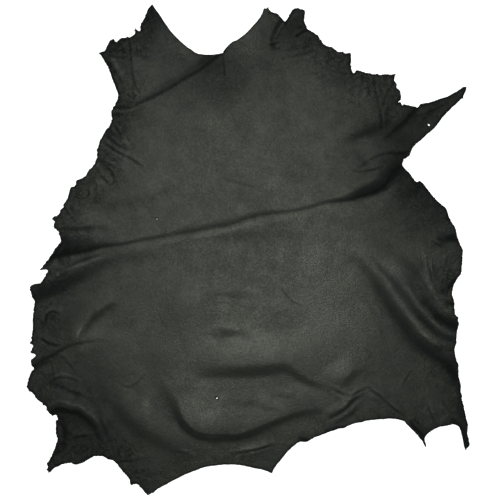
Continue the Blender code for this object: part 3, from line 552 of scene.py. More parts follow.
def sharp_fall(t):
    steep = np.clip((t - 0.12) / 0.88, 0.0, 1.0)
    return np.where(t < 0.12, 1.0 - 2.0 * t**2, 0.971 * (1.0 - steep) ** 2 * (1.0 + 1.6 * steep))


def valley_side(t, crest):
    """From 0 in the valley up to 1 at the crest, and down to 0 again."""
    up = 1.0 - (1.0 - np.clip(t / crest, 0.0, 1.0)) ** 1.7
    return np.where(t < crest, up, soft_fall(np.clip((t - crest) / (1.0 - crest), 0.0, 1.0)))


def hollow_side(t):
    """The same without a sharp line in the valley."""
    return 16.0 * t**2 * (1.0 - t) ** 2


# The width of the painted shade along the valley of a wrinkle and of a crease.
LINE_WIDE, SOFT_LINE_WIDE = 1.9, 3.0    # mm, half the width of a wrinkle's and a crease's line


def fold_lift(points, fold):
    """For each point: its lift in mm, how far across the fold it is, and how much of a line."""
    path = smooth_path(fold.sections, PATH_STEP)
    reach = path[:, 3:5].max()
    low, high = path[:, :2].min(axis=0) - reach, path[:, :2].max(axis=0) + reach
    close = ((points > low) & (points < high)).all(axis=1)
    lifted, across, line = np.zeros(len(points)), np.ones(len(points)), np.zeros(len(points))
    if not close.any():
        return lifted, across, line
    here, distance, on_far_side = nearest_on_path(points[close], path)
    reach = np.maximum(np.where(on_far_side, here[:, 3], here[:, 4]), 1.0)
    t = np.clip(distance / reach, 0.0, 1.0)
    if fold.shape in ("roll", "lip"):
        near_fall = sharp_fall(t) if fold.shape == "lip" else soft_fall(t)
        rise = np.where(on_far_side, soft_fall(t), near_fall)
    else:
        crest = np.clip(np.where(on_far_side, here[:, 5], 0.4 * reach) / reach, 0.05, 0.8)
        rise = hollow_side(t) if fold.shape == "hollow" else valley_side(t, crest)
        rise = rise * np.where(on_far_side, 1.0, here[:, 6])
    lifted[close] = here[:, 2] * rise
    across[close] = t
    # The line is painted shade along the valley of each crease and wrinkle, which the grain side darkens.
    if fold.shape == "crease":
        line[close] = np.clip(here[:, 2] / 8.0, 0.25, 0.9) * np.exp(-((distance / SOFT_LINE_WIDE) ** 2))
        line[close] *= np.clip(here[:, 2], 0.0, 1.0)
    if fold.shape == "wrinkle":
        line[close] = np.clip(here[:, 2], 0.0, 1.0) * np.exp(-((distance / LINE_WIDE) ** 2))
    return lifted, across, line


# %% [markdown]
# Three smaller movements make the rest of the relief. Slow swells lift the skin off the
# floor here and there. Loose skin along the torn edges is crumpled, in ridges like those
# of crushed paper. The very edge curls up a little, as thin leather does when it dries.
# The place where the skin rests stays level.

# %% Swells, crumple and curl
SWELL_HIGH, SWELL_LONG = 5.0, 150.0     # mm
REST = np.array([560.0, -600.0])
REST_REACH, REST_FADE = 60.0, 90.0      # mm
CRUMPLE_HIGH, CRUMPLE_LONG = 1.3, 24.0  # mm
CURL_HIGH, CURL_REACH = 2.0, 12.0       # mm
LOOSE_REACH = 55.0                      # mm in from a torn edge
FULLY_TORN = 0.7                        # from here on a torn edge has all its effect
STRAY, STRAY_LONG = 1.6, 45.0           # mm that folds stray from their drawn lines
UNEVEN_LONG = 30.0                      # mm, the waves in the height of fine creases
CURL_LONG = 34.0                        # mm
RIPPLE_HIGH, RIPPLE_LONG = 0.5, 60.0    # mm


def waves(points, length, level):
    """Smooth noise from -1 to 1 with waves about length mm long. Each level is another one."""
    return np.array([noise.noise(Vector((x / length, y / length, 7.0 * level)))
                     for x, y in points])


def strayed(points, far, length, level):
    """The points moved aside by up to about far mm, with a noise for each direction."""
    aside = [waves(points, length, level), waves(points, length, level + 1)]
    return points + far * np.stack(aside, axis=1)


def rest_share(points):
    """0 where the skin rests, and 1 well away from there."""
    away = np.hypot(*(points - REST).T)
    return np.clip((away - REST_REACH) / REST_FADE, 0.0, 1.0)


def edge_distance(points):
    """How far in mm each point is from the edge, and how torn the edge is there."""
    tree = KDTree(len(outline))
    for index, (x, y) in enumerate(outline):
        tree.insert((x, y, 0.0), index)
    tree.balance()
    found = [tree.find((x, y, 0.0)) for x, y in points]
    return np.array([hit[2] for hit in found]), outline_torn[[hit[1] for hit in found]]


def looseness(inwards, torn):
    """From 1 at a torn edge down to 0 far inside, and 0 along a clean cut."""
    return np.clip(torn / FULLY_TORN, 0.0, 1.0) * np.exp(-(inwards / LOOSE_REACH) ** 2)


def relief(points):
    """The height in mm of the skin's underside at each point, and how much of a line is there."""
    bent = strayed(points, STRAY, STRAY_LONG, 1)
    free = rest_share(points)
    swell = SWELL_HIGH * np.maximum(0.0, waves(points, SWELL_LONG, 0)) ** 1.5 * free
    heights, lines = swell, np.zeros(len(points))
    for fold in FOLDS.values():
        lifted, _, line = fold_lift(bent, fold)
        heights = heights + lifted
        lines = np.maximum(lines, line)
    uneven = np.clip(0.7 + 0.7 * waves(points, UNEVEN_LONG, 6), 0.3, 1.1)
    for fold in fine_folds.values():
        lifted, _, line = fold_lift(bent, fold)
        heights = heights + uneven * lifted
        lines = np.maximum(lines, uneven * line)
    inwards, torn = edge_distance(points)
    loose = looseness(inwards, torn)
    ridges = 1.0 - np.abs(waves(bent, CRUMPLE_LONG, 3)) * 2.2
    heights += CRUMPLE_HIGH * loose * np.clip(ridges, 0.0, 1.0) ** 2
    curl = np.clip(0.25 + waves(points, CURL_LONG, 4), 0.0, 1.0)
    heights += CURL_HIGH * curl * loose * np.exp(-inwards / CURL_REACH)
    heights += RIPPLE_HIGH * np.maximum(0.0, waves(points, RIPPLE_LONG, 5)) * free
    return np.maximum(heights, 0.0), lines


# %% [markdown]
# A mesh of even triangles would waste them where the skin is plain and be too coarse in
# its creases. So the points come from three nested rows of triangles: the widest
# everywhere, the next on folds, the finest in creases and along the edge. Points on the
# crease lines themselves keep the valleys sharp. A Delaunay triangulation joins them all,
# and keeps the outline as a border.

# %% Spread the points of the mesh
FINE_STEP = 2.3         # mm, and twice and four times that for the wider rows
LINE_STEP = 2.6         # mm between points along a crease line
CLEARANCE = 1.25        # mm, the least distance between two points
CREASE_CORE = 0.16      # the share of a fold's reach that gets the finest rows
FINE_CORE = 0.75        # the same for a fine crease
LOOSE_MARGIN = 60.0     # mm in from a fully torn edge that get the middle rows
EDGE_MARGIN = 4.0       # mm in from any edge that get the finest rows


def keep_apart(placed, candidates, clearance):
    """The placed points, and each candidate that is clear of all that came before it."""
    kept, cells = [tuple(point) for point in placed], {}
    for point in kept:
        cells.setdefault((int(point[0] // clearance), int(point[1] // clearance)), []).append(point)
    for x, y in candidates:
        column, row = int(x // clearance), int(y // clearance)
        around = (other for i in (-1, 0, 1) for j in (-1, 0, 1)
                  for other in cells.get((column + i, row + j), ()))
        if all((x - u) ** 2 + (y - v) ** 2 > clearance**2 for u, v in around):
            kept.append((x, y))
            cells.setdefault((column, row), []).append((x, y))
    return np.array(kept)


def inside(points, edge):
    """Which points lie inside the edge, by counting how often it is crossed to the right."""
    crossed = np.zeros(len(points), dtype=bool)
    for a, b in zip(edge, np.roll(edge, -1, axis=0)):
        if a[1] != b[1]:
            spans = (a[1] > points[:, 1]) != (b[1] > points[:, 1])
            x = a[0] + (points[:, 1] - a[1]) * (b[0] - a[0]) / (b[1] - a[1])
            crossed ^= spans & (points[:, 0] < x)
    return crossed


def nested_rows():
    """Staggered rows over the whole skin, and each point's rank: 0 in the widest rows."""
    low, high = outline.min(axis=0), outline.max(axis=0)
    row_gap = FINE_STEP * math.sqrt(0.75)
    j, i = np.mgrid[0:int((high[1] - low[1]) / row_gap) + 1, -400:600]
    x = low[0] + (i + 0.5 * j) * FINE_STEP
    y = low[1] + j * row_gap
    rank = np.where((i % 2 == 0) & (j % 2 == 0), 1, 2)
    rank[(i % 4 == 0) & (j % 4 == 0)] = 0
    within = (x > low[0]) & (x < high[0])
    return np.stack([x[within], y[within]], axis=1), rank[within]


def wanted_rank(points):
    """How fine the rows must be at each point."""
    rank = np.zeros(len(points), dtype=int)
    for fold in FOLDS.values():
        across = fold_lift(points, fold)[1]
        rank[across < 1.0] = np.maximum(rank[across < 1.0], 1)
        rank[across < CREASE_CORE] = 2
    for fold in fine_folds.values():
        rank[fold_lift(points, fold)[1] < FINE_CORE] = 2
    inwards, torn = edge_distance(points)
    margin = inwards < LOOSE_MARGIN * torn
    rank[margin] = np.maximum(rank[margin], 1)
    rank[inwards < EDGE_MARGIN] = 2
    return rank


# Pinholes that go right through, as ticks and thorns leave them: place and radius in mm.
PINHOLES = [(857.4, 250.0, 2.1), (434.0, 796.0, 1.6), (314.0, 438.0, 0.9)]


def hole_ring(right, down, radius):
    """Points round a pinhole, a little uneven."""
    turns = np.arange(8) * math.tau / 8
    ring = np.stack([np.cos(turns), np.sin(turns)], axis=1)
    return (right, -down) + radius * ring * (1.0 + 0.2 * np.sin(2.0 * turns + right))[:, None]


holes = [hole_ring(*pinhole) for pinhole in PINHOLES]


def spread_points():
    """The outline and the pinholes, then points along the crease lines, then the rows."""
    lines = [smooth_path(fold.sections, LINE_STEP)[:, :2]
             for fold in [*FOLDS.values(), *fine_folds.values()]]
    lines = np.vstack(lines)
    lines = lines[inside(lines, outline)]
    rows, rank = nested_rows()
    rows = rows[rank <= wanted_rank(rows)]
    rows = rows[inside(rows, outline)]
    for hole in holes:
        rows, lines = rows[~inside(rows, hole)], lines[~inside(lines, hole)]
    return keep_apart(keep_apart(np.vstack([outline, *holes]), lines, CLEARANCE), rows, CLEARANCE)


points = spread_points()
border = [(index, (index + 1) % len(outline)) for index in range(len(outline))]
INSIDE_THE_BORDER = 1
flat, _, triangles, _, _, _ = delaunay_2d_cdt(
    [Vector(point) for point in points], border, [], INSIDE_THE_BORDER, 1e-5)
flat = np.array([tuple(point) for point in flat])
triangles = np.array(triangles)
middles = flat[triangles].mean(axis=1)
for hole in holes:
    triangles, middles = triangles[~inside(middles, hole)], middles[~inside(middles, hole)]
print("one side of the skin:", len(flat), "points,", len(triangles), "triangles")

# %% [markdown]
# The sheet is closed by hand, which a Solidify modifier could do too. Here the leather is
# thinner where it tore, and its cut edge is a little rounded, so the upper side, the
# underside and the edge between them are laid out as three sets of faces, each with a
# material of its own. Two floats go along with each point: how far it is inside a crease,
# which the grain side darkens as painted shade, and how far on a crest, which it makes a
# little paler.

# %% Make the skin
THICK, THICK_AT_A_TEAR = 1.2, 0.7       # mm
THIN_REACH = 5.0                        # mm in from a torn edge
EDGE_ROUND = 0.25                       # mm that the middle of the cut edge stands out
SHARP_BEND = 0.06                       # 1/mm, from here on a crease or crest is full

heights, lines = relief(flat)
inwards, torn = edge_distance(flat)
thin = np.clip(torn / FULLY_TORN, 0.0, 1.0) * np.exp(-inwards / THIN_REACH)
thick = THICK + (THICK_AT_A_TEAR - THICK) * thin


def turned_up(faces, places):
    """The faces with their corners in the order that makes them face up."""
    a, b, c = (places[faces[:, corner]] for corner in range(3))
    area = (b[:, 0] - a[:, 0]) * (c[:, 1] - a[:, 1]) - (b[:, 1] - a[:, 1]) * (c[:, 0] - a[:, 0])
    faces = faces.copy()
    faces[area < 0.0] = faces[area < 0.0][:, ::-1]
    return faces


def border_loops(faces):
    """The points of the border and of each hole, in order, and the next point to each."""
    sides = np.vstack([faces[:, [0, 1]], faces[:, [1, 2]], faces[:, [2, 0]]])
    have = {tuple(side) for side in sides}
    onward = {a: b for a, b in have if (b, a) not in have}
    loops, following = [], []
    while onward:
        loop = [min(onward)]
        while (after := onward.pop(loop[-1])) != loop[0]:
            loop.append(after)
        loops += loop
        following += loop[1:] + loop[:1]
    return np.array(loops), np.array(following)


def bend_of(faces, surface):
    """How much each point lies below (above zero) or above (below zero) its neighbours."""
    total, count = np.zeros(len(surface)), np.zeros(len(surface))
    gaps = np.zeros(len(surface))
    for a, b in ((0, 1), (1, 2), (2, 0)):
        for p, q in ((faces[:, a], faces[:, b]), (faces[:, b], faces[:, a])):
            np.add.at(total, p, surface[q, 2] - surface[p, 2])
            np.add.at(gaps, p, ((surface[q, :2] - surface[p, :2]) ** 2).sum(axis=1))
            np.add.at(count, p, 1.0)
    bend = 4.0 * total / gaps
    for _ in range(3):
        spread = np.zeros(len(surface))
        for a, b in ((0, 1), (1, 2), (2, 0)):
            np.add.at(spread, faces[:, a], bend[faces[:, b]])
            np.add.at(spread, faces[:, b], bend[faces[:, a]])
        bend = 0.5 * bend + 0.5 * spread / count
    return bend


triangles = turned_up(triangles, flat)
loop, loop_after = border_loops(triangles)
under = np.column_stack([flat, heights])
upper = np.column_stack([flat, heights + thick])
bend = bend_of(triangles, upper)

place_in_loop = np.zeros(len(flat), dtype=int)
place_in_loop[loop] = np.arange(len(loop))
before = np.zeros(len(loop), dtype=int)
before[place_in_loop[loop_after]] = np.arange(len(loop))
along = flat[loop_after] - flat[loop[before]]
outwards = np.stack([along[:, 1], -along[:, 0]], axis=1) / np.hypot(*along.T)[:, None]
rounded = np.column_stack([flat[loop] + outwards * EDGE_ROUND,
                           heights[loop] + 0.5 * thick[loop]])

count = len(flat)
ring = 2 * count + np.arange(len(loop))
after = ring[place_in_loop[loop_after]]
edge_faces = np.vstack([
    np.column_stack([loop_after, loop, ring, after]),
    np.column_stack([after, ring, loop + count, loop_after + count])])
skin_faces = [*triangles.tolist(), *(triangles[:, ::-1] + count).tolist(), *edge_faces.tolist()]
GRAIN, FLESH, CUT = 0, 1, 2
face_kinds = [GRAIN] * len(triangles) + [FLESH] * len(triangles) + [CUT] * len(edge_faces)

mesh = bpy.data.meshes.new("dressed_skin")
mesh.from_pydata(in_metres(np.vstack([upper, under, rounded])).tolist(), [], skin_faces)
mesh.polygons.foreach_set("material_index", face_kinds)
mesh.shade_smooth()
skin = bpy.data.objects.new("dressed_skin", mesh)
bpy.context.scene.collection.objects.link(skin)
print("skin:", len(mesh.vertices), "points,", len(skin_faces) + len(edge_faces), "triangles")


def give_attribute(name, values):
    """A float for each point of the skin, the same on both its sides."""
    attribute = mesh.attributes.new(name, "FLOAT", "POINT")
    whole = np.concatenate([values, values, values[loop]])
    attribute.data.foreach_set("value", whole.astype(np.float32))


# The grain side paints shade with crease, line and edge, and makes crests a little paler.
give_attribute("crease", np.clip(bend / SHARP_BEND, 0.0, 1.0))
give_attribute("crest", np.clip(-bend / SHARP_BEND, 0.0, 1.0))
give_attribute("line", lines)
give_attribute("loose", looseness(inwards, torn))
give_attribute("edge", np.exp(-inwards / 2.5) * (0.3 + 0.7 * np.clip(torn / 0.5, 0.0, 1.0)))
print("sharpest bend, 1/mm:", round(float(np.abs(bend).max()), 2))

# %% [markdown]
# The tone is greyer in the middle and darker towards the flanks and legs, with soft
# blue-black patches. Part of it is painted light: painted shade on the near sides of folds
# and under lips and pleats, painted highlights on crests, lips and small bumps, and a dark
# rim of painted shade along the torn edges. Painting this into a texture would need an
# image, so each point gets a tone from a formula and two short tables instead, of patches
# and of strokes. A tone of 1 is the greyest and 0 the blackest. Past either the colour
# stays, and only the sheen still changes.

# %% The tone: dye, painted shade and painted highlights
Patch = namedtuple("Patch", "right down wide long tone")

PATCHES = {
    "left fore shank, tip": Patch(300, 24, 40, 44, -0.95),
    "left fore shank": Patch(220, 100, 40, 90, -0.68),
    "left neck": Patch(300, 85, 80, 50, -0.22),
    "neck, at the cut": Patch(426, 122, 46, 30, -0.55),
    "back of the neck": Patch(434, 170, 90, 46, -0.45),
    "neck, right": Patch(520, 130, 50, 40, -0.20),
    "right fore shank": Patch(590, 55, 50, 60, -0.75),
    "right shoulder edge": Patch(690, 125, 44, 44, -0.30),
    "right waist": Patch(740, 262, 50, 26, -0.20),
    "right fore leg": Patch(800, 250, 66, 90, -0.56),
    "right fore leg, tip": Patch(900, 190, 60, 50, -0.50),
    "right armpit": Patch(812, 325, 70, 56, -0.60),
    "right shoulder": Patch(865, 400, 76, 76, -0.70),
    "right flank, over the folds": Patch(800, 470, 70, 30, -0.16),
    "right flank, grey": Patch(840, 530, 50, 34, 0.50),
    "left shoulder": Patch(270, 238, 60, 20, -0.25),
    "left waist edge": Patch(178, 330, 26, 50, -0.20),
    "left waist, lit": Patch(200, 366, 26, 26, 0.40),
    "left shoulder edge": Patch(130, 430, 40, 40, -0.30),
    # The next three are painted shade beside the left folds.
    "over the left fold": Patch(150, 490, 50, 26, -0.34),
    "under the left fold": Patch(120, 560, 80, 40, -0.34),
    "along the left folds": Patch(210, 515, 70, 16, -0.30),
    "across the middle": Patch(510, 472, 100, 16, -0.16),
    # The next three are painted highlights: on the knee's roll, and on two small bumps.
    "left knee": Patch(157, 667, 8, 17, 1.20),
    "left knee, painted highlight": Patch(172, 695, 7, 6, 1.20),
    "left rump, painted highlight": Patch(292, 804, 7, 9, 0.50),
    "left flank": Patch(110, 640, 50, 120, -0.22),
    "over the hock": Patch(150, 772, 50, 30, -0.28),
    "left hind leg": Patch(150, 850, 84, 74, -0.55),
    "left rump": Patch(240, 925, 80, 45, -0.20),
    "left belly": Patch(232, 800, 70, 40, -0.10),
    "lower middle": Patch(470, 690, 170, 110, 0.22),
    "above the belly": Patch(480, 690, 90, 22, 0.15),
    "inside the belly": Patch(440, 830, 90, 26, 0.20),
    "under the belly": Patch(450, 895, 80, 20, 0.25),
    "under the middle crease": Patch(480, 758, 90, 14, 0.25),
    "right of the middle": Patch(650, 590, 70, 150, 0.25),
    "right, low": Patch(670, 690, 56, 60, 0.50),
    "right thigh": Patch(620, 790, 80, 60, 0.12),
    "right flank": Patch(930, 720, 36, 60, -0.40),
    "right hind shank": Patch(930, 880, 26, 50, -0.90),
    "inner hind shank": Patch(840, 872, 26, 26, -0.40),
    "rump": Patch(420, 900, 200, 40, -0.05),
}

# Strokes along a line, mostly painted shade (below zero) on the near sides of folds, under
# lips and pleats and in crease lines, and painted highlights (above zero) on crests and lips;
# a few are blotches of the dye. Each place right and down, its tone and its width.
SHADE_AND_HIGHLIGHT_STROKES = {
    "wedge of the long fold, right": [
        (644, 406, -0.1, 5), (690, 400, -0.5, 6), (714, 392, -0.9, 9), (736, 382, -1.5, 10),
        (756, 374, -1.9, 11), (772, 360, -2.1, 11), (788, 340, -2.3, 11), (802, 324, -2.3, 10)],
    "wedge of the long fold, left": [
        (108, 512, -1, 8), (124, 506, -1, 8), (144, 501, -0.9, 8), (168, 497, -0.7, 7),
        (196, 493, -0.5, 6), (228, 488, -0.3, 5), (280, 480, 0, 4)],
    "torn end of the long fold": [
        (96, 528, -1, 5), (110, 508, -1.2, 6), (120, 494, -1.3, 6), (134, 476, -1.1, 5)],
    "under the left lip": [
        (58, 590, -1.4, 9), (72, 586, -1.7, 10), (88, 580, -1.2, 10), (108, 570, -0.6, 11),
        (134, 558, -0.45, 12), (160, 546, -0.4, 12), (184, 536, -0.4, 10), (208, 527, -0.35, 8),
        (232, 519, 0, 6)],
    "between the left folds": [
        (136, 536, 0, 4), (160, 524, -0.3, 5), (184, 516, -0.3, 5), (212, 507, 0, 4)],
    "under the right flank fold": [
        (704, 512, -0.1, 8), (724, 528, -0.25, 9), (742, 554, -0.35, 10), (758, 578, -0.45, 12),
        (782, 618, -0.5, 14), (808, 656, -0.5, 15), (832, 690, -0.6, 14), (860, 704, -0.8, 12),
        (890, 722, -1.3, 13), (914, 750, -1.5, 13)],
    "under the right middle fold": [
        (740, 516, -0.2, 6), (766, 542, -0.45, 7), (794, 574, -0.55, 9), (820, 606, -0.6, 10),
        (844, 638, -0.6, 9), (872, 664, -0.7, 7), (900, 676, -0.8, 6)],
    "under the right upper fold": [
        (792, 524, -0.25, 8), (812, 546, -0.5, 10), (832, 570, -0.6, 11), (848, 596, -0.9, 10),
        (862, 618, -1.7, 9), (882, 639, -2, 9.6), (910, 652, -2, 9.6)],
    "right rim, upper": [
        (880, 482, -0.4, 5), (894, 476, -1.6, 7), (914, 474, -2, 9)],
    "right rim, middle": [
        (886, 584, -0.9, 5), (894, 574, -1.5, 6), (904, 564, -2, 6), (912, 558, -1.4, 5)],
    "fore leg valley": [
        (776, 274, -0.2, 8), (796, 260, -0.6, 9), (816, 240, -0.7, 9), (832, 220, -0.7, 9),
        (848, 202, -0.3, 8)],
    "shoulder band": [
        (680, 284, 0, 6), (700, 276, -0.25, 10), (724, 266, -0.4, 11), (748, 256, -0.4, 11),
        (772, 244, -0.3, 10)],
    "armpit gap": [
        (792, 314, -0.9, 6), (808, 310, -2, 4.8), (818, 307, -2, 4.8)],
    "right armpit, under the leg": [
        (796, 396, -0.2, 10), (824, 386, -0.35, 10), (848, 368, -0.3, 10)],
    "hock pleat": [
        (96, 828, -0.8, 5), (112, 819, -1.7, 4.4), (132, 821, -2.3, 4.8), (154, 822, -2.3, 4.8),
        (172, 833, -1.9, 5), (188, 846, -1.4, 4.8), (196, 860, -0.8, 4.8), (204, 882, -0.3, 5.2)],
    "left hind crease": [
        (60, 740, -1.2, 6.4), (76, 734, -1.1, 6), (92, 722, -0.5, 5), (120, 706, -0.2, 4)],
    "left leg, pocket": [
        (116, 904, -0.6, 6), (124, 886, -1.1, 6), (132, 870, -1.6, 4.8), (130, 854, -1.5, 4.4),
        (122, 838, -0.8, 4)],
    "left waist, flutes": [
        (216, 256, -0.3, 6), (224, 276, -0.4, 8), (244, 294, -0.3, 6)],
    "left waist, low flutes": [
        (200, 320, -0.4, 6), (216, 332, -0.4, 6), (232, 352, -0.3, 6)],
    "left waist, blotch": [
        (194, 400, -0.3, 12), (216, 380, -0.4, 14), (240, 366, -0.2, 12)],
    "under the left shoulder": [
        (220, 232, -0.5, 7), (244, 230, -0.5, 7), (268, 222, -0.35, 6), (300, 206, 0, 6)],
    "left fore shank, side": [
        (210, 120, -0.4, 8), (220, 152, -0.5, 8), (234, 180, -0.4, 8), (248, 204, -0.3, 8)],
    "inner hind shank, rim": [
        (906, 842, -1, 5), (918, 860, -1.4, 6.4), (928, 886, -1.4, 6)],
    "gap at the shank": [
        (824, 844, -0.5, 6), (834, 858, -1, 6), (848, 876, -1, 6)],
    "right rim, low": [
        (904, 732, -0.7, 8), (914, 760, -0.6, 8), (918, 792, -0.5, 8), (922, 824, -0.6, 8)],
    "right rim, small": [
        (888, 606, -0.4, 5), (900, 606, -1.7, 5.2), (910, 608, -1.7, 5.2)],
    "under the long crease, middle": [
        (412, 486, 0, 8), (450, 479, -0.16, 7), (490, 474, -0.2, 8), (524, 469, -0.14, 8),
        (570, 468, -0.1, 7), (600, 474, 0, 8)],
    "over the long crease, middle": [
        (424, 452, -0.1, 6), (480, 440, -0.2, 8), (524, 428, 0, 6)],
    "left blotch": [
        (344, 376, 0, 8), (300, 396, -0.25, 10), (256, 406, -0.25, 10), (216, 410, -0.2, 10)],
    "lit edge of the middle crease": [
        (240, 498, 0.05, 5), (360, 478, 0.2, 5), (430, 466, 0.3, 6), (500, 450, 0.3, 6),
        (570, 434, 0.15, 6), (660, 412, 0.1, 5), (704, 404, 0, 5)],
    "lit lip of the left shoulder": [
        (224, 224.6, 0.5, 3), (244, 225.2, 0.7, 3), (262, 222, 0.4, 3), (280, 214, 0.2, 3)],
    "lit crest of the right middle fold": [
        (842, 610, 0.2, 3), (856, 628, 0.9, 3.4), (868, 644, 1, 3.4), (882, 658, 0.9, 3.6),
        (898, 666, 0.5, 3.6)],
    "lit crest of the right flank fold": [
        (742, 524, 0.15, 4), (776, 566, 0.2, 4), (806, 614, 0.25, 4), (830, 646, 0.35, 4),
        (854, 676, 0.4, 4), (880, 686, 0.3, 4), (900, 686, 0.2, 4)],
    "lit crest of the right upper fold": [
        (848, 562, 0.3, 2.6), (864, 584, 0.5, 2.6), (880, 608, 0.7, 2.6), (898, 624, 0.8, 2.8),
        (912, 630, 0.6, 2.8)],
    "middle dimple": [
        (432, 670, -0.15, 8), (452, 669, -0.42, 9), (476, 670, -0.3, 8), (496, 672, -0.1, 6)],
    "middle, low": [
        (444, 590, -0.1, 8), (472, 591, -0.2, 8), (500, 594, -0.1, 8)],
    "rump, small dark": [
        (540, 791, -0.1, 6), (564, 791, -0.5, 6.4), (586, 792, -0.1, 6)],
    "rump, soft dark": [
        (456, 805, -0.15, 8), (500, 806, -0.3, 8), (540, 808, -0.2, 7)],
    "rump, smaller dark": [
        (524, 816, -0.15, 5), (542, 817, -0.5, 4.8), (560, 820, -0.1, 4)],
    "line up the right flank": [
        (852, 476, -0.3, 2.4), (858, 504, -0.35, 2.4), (862, 532, -0.3, 2.4), (868, 558, -0.3, 2.4),
        (878, 584, -0.3, 2.4)],
    "lit lip of the hock pleat": [
        (100, 807, 0.4, 2.8), (116, 801, 0.7, 2.8), (134, 803, 0.6, 2.8), (156, 809, 0.7, 2.8),
        (174, 820, 0.8, 2.8), (192, 836, 0.7, 2.6), (202, 856, 0.4, 2.4)],
    "line beside the hock pleat": [
        (176, 780, -0.2, 4), (190, 804, -0.4, 4), (202, 830, -0.45, 4), (210, 856, -0.4, 4),
        (218, 884, -0.2, 4)],
    "over the torn end": [
        (128, 484, -0.9, 10), (152, 487, -1, 11), (176, 488, -0.7, 9), (200, 487, -0.3, 7),
        (224, 484, 0, 6)],
    "lit lip of the left flank": [
        (68, 574, 0.35, 2.6), (92, 562, 0.6, 2.8), (120, 546, 0.7, 3), (150, 533, 0.6, 3),
        (180, 523, 0.5, 3), (212, 512, 0.3, 3)],
    "under the shelf": [
        (116, 460, -0.3, 2.8), (132, 457, -0.6, 3), (160, 457, -0.6, 3.2), (188, 455, -0.45, 4),
        (216, 451, -0.1, 5)],
    "left knee, dark side": [
        (176, 650, -0.2, 6), (192, 632, -0.55, 7), (208, 618, -0.55, 7), (228, 606, -0.2, 6)],
    "left knee, hook": [
        (94, 640, -0.8, 4.8), (100, 628, -0.9, 4.4), (112, 623, -0.5, 3.2)],
    "lit hook of the left knee": [
        (96, 620, 0.3, 2.8), (106, 616, 0.5, 2.8), (116, 622, 0.4, 2.8)],
    "left knee, level": [
        (86, 679, -0.9, 2.8), (100, 687, -1.1, 3.2), (114, 690, -0.5, 2.8)],
    "over the left shoulder crease": [
        (240, 212, -0.3, 6), (284, 200, -0.45, 8), (320, 181, -0.55, 9), (360, 158, -0.55, 9),
        (396, 134, -0.6, 9), (424, 114, -1, 8), (442, 102, -1.6, 7)],
    "left fore shank, black tip": [
        (284, 48, -0.9, 4), (294, 32, -1.1, 6), (302, 16, -1.5, 8)],
    "left fore shank, black rim": [
        (224, 84, -0.8, 3), (236, 82, -1.5, 3.6), (248, 79, -1.5, 4), (260, 75, -0.8, 3.2)],
    "left fore shank, lit": [
        (224, 118, 0.8, 4), (234, 132, 1.3, 6), (242, 146, 0.6, 4.8)],
    "left waist, rim": [
        (232, 184, -0.8, 6), (238, 200, -0.6, 4.8), (226, 216, -0.5, 4)],
    "right fore shank, fold": [
        (562, 40, -0.7, 2.6), (552, 54, -1, 2.6), (546, 68, -1.3, 2.8), (544, 82, -1.5, 3.2),
        (546, 94, -1.1, 5)],
    "right fore shank, lit": [
        (566, 46, 0.5, 2.6), (556, 62, 0.5, 2.6), (550, 78, 0.4, 2.8)],
    "right fore shank, wedge": [
        (594, 72, -1.1, 3), (604, 65, -1.6, 3.2), (616, 58, -1.2, 3)],
    "right thigh, rim": [
        (652, 860, -0.8, 4), (670, 857, -1.1, 4), (688, 854, -0.7, 4)],
    "rump, nick": [
        (600, 877, -1.2, 4), (612, 880, -1.4, 4)],
}
TONE_MIDDLE = np.array([480.0, -560.0])
TONE_WIDE, TONE_LONG = 430.0, 520.0     # mm
TONE_BEST, TONE_FADE = 0.86, 0.22       # at the middle, and how much is lost that far out
TONE_STRAY, TONE_STRAY_LONG = 2.4, 22.0  # mm that strokes stray from their drawn lines
# Painted shade: a dark rim along the torn edges.
PAINTED_RIM_SHADE, RIM_REACH = -1.50, 3.6        # along a torn edge, and mm in from it
TONE_LIMIT = 1.2


def stroke_tone(places, stroke):
    """How much one stroke changes the tone at each place."""
    here, distance, _ = nearest_on_path(places, smooth_path(stroke, 2.0 * PATH_STEP, 1))
    return here[:, 2] * np.exp(-(distance / here[:, 3]) ** 2)


def dye_shade_and_highlight_tone(places):
    """The tone at each place: 0 and below is blackest, 1 and above is greyest."""
    out = (places - TONE_MIDDLE) / (TONE_WIDE, TONE_LONG)
    tone = TONE_BEST - TONE_FADE * np.clip((out**2).sum(axis=1), 0.0, 1.3)
    for patch in PATCHES.values():
        u = (places[:, 0] - patch.right) / patch.wide
        v = (places[:, 1] + patch.down) / patch.long
        tone += patch.tone * np.exp(-(u**2 + v**2))
    bent = strayed(places, TONE_STRAY, TONE_STRAY_LONG, 11)
    # The strokes add painted shade and painted highlights, and a few blotches of the dye.
    for stroke in SHADE_AND_HIGHLIGHT_STROKES.values():
        tone += stroke_tone(bent, stroke) * (0.9 + 0.4 * waves(places, 30.0, 10))
    # A dark rim of painted shade along the torn edges, a few millimetres wide.
    rim = np.clip(torn / 0.4, 0.0, 1.0) * np.exp(-((inwards / RIM_REACH) ** 2))
    tone += PAINTED_RIM_SHADE * rim * (0.8 + 0.8 * waves(places, 40.0, 12))
    tone += 0.10 * waves(places, 70.0, 8) + 0.07 * waves(places, 24.0, 9)
    return np.clip(tone, -TONE_LIMIT, TONE_LIMIT)


give_attribute("tone", dye_shade_and_highlight_tone(flat))
print("tones given:", len(flat))

# %% [markdown]
# Dressed leather gets its look from three layers: a dye that is uneven at every scale, a
# grain of tiny pebbles, and a thin waxy finish with a low sheen. The grain goes into the
# bump, not the mesh, as its pebbles are under a millimetre. All patterns read Object
# coordinates in metres, so a scale of 1000 means one millimetre.

# %% Small helpers for materials


def start_material(name):
    """A new material with its tree, its shader, and Object coordinates."""
    material = bpy.data.materials.new(name)
    material.use_nodes = True
    tree = material.node_tree
    where = tree.nodes.new("ShaderNodeTexCoord").outputs["Object"]
    return material, tree, tree.nodes["Principled BSDF"], where


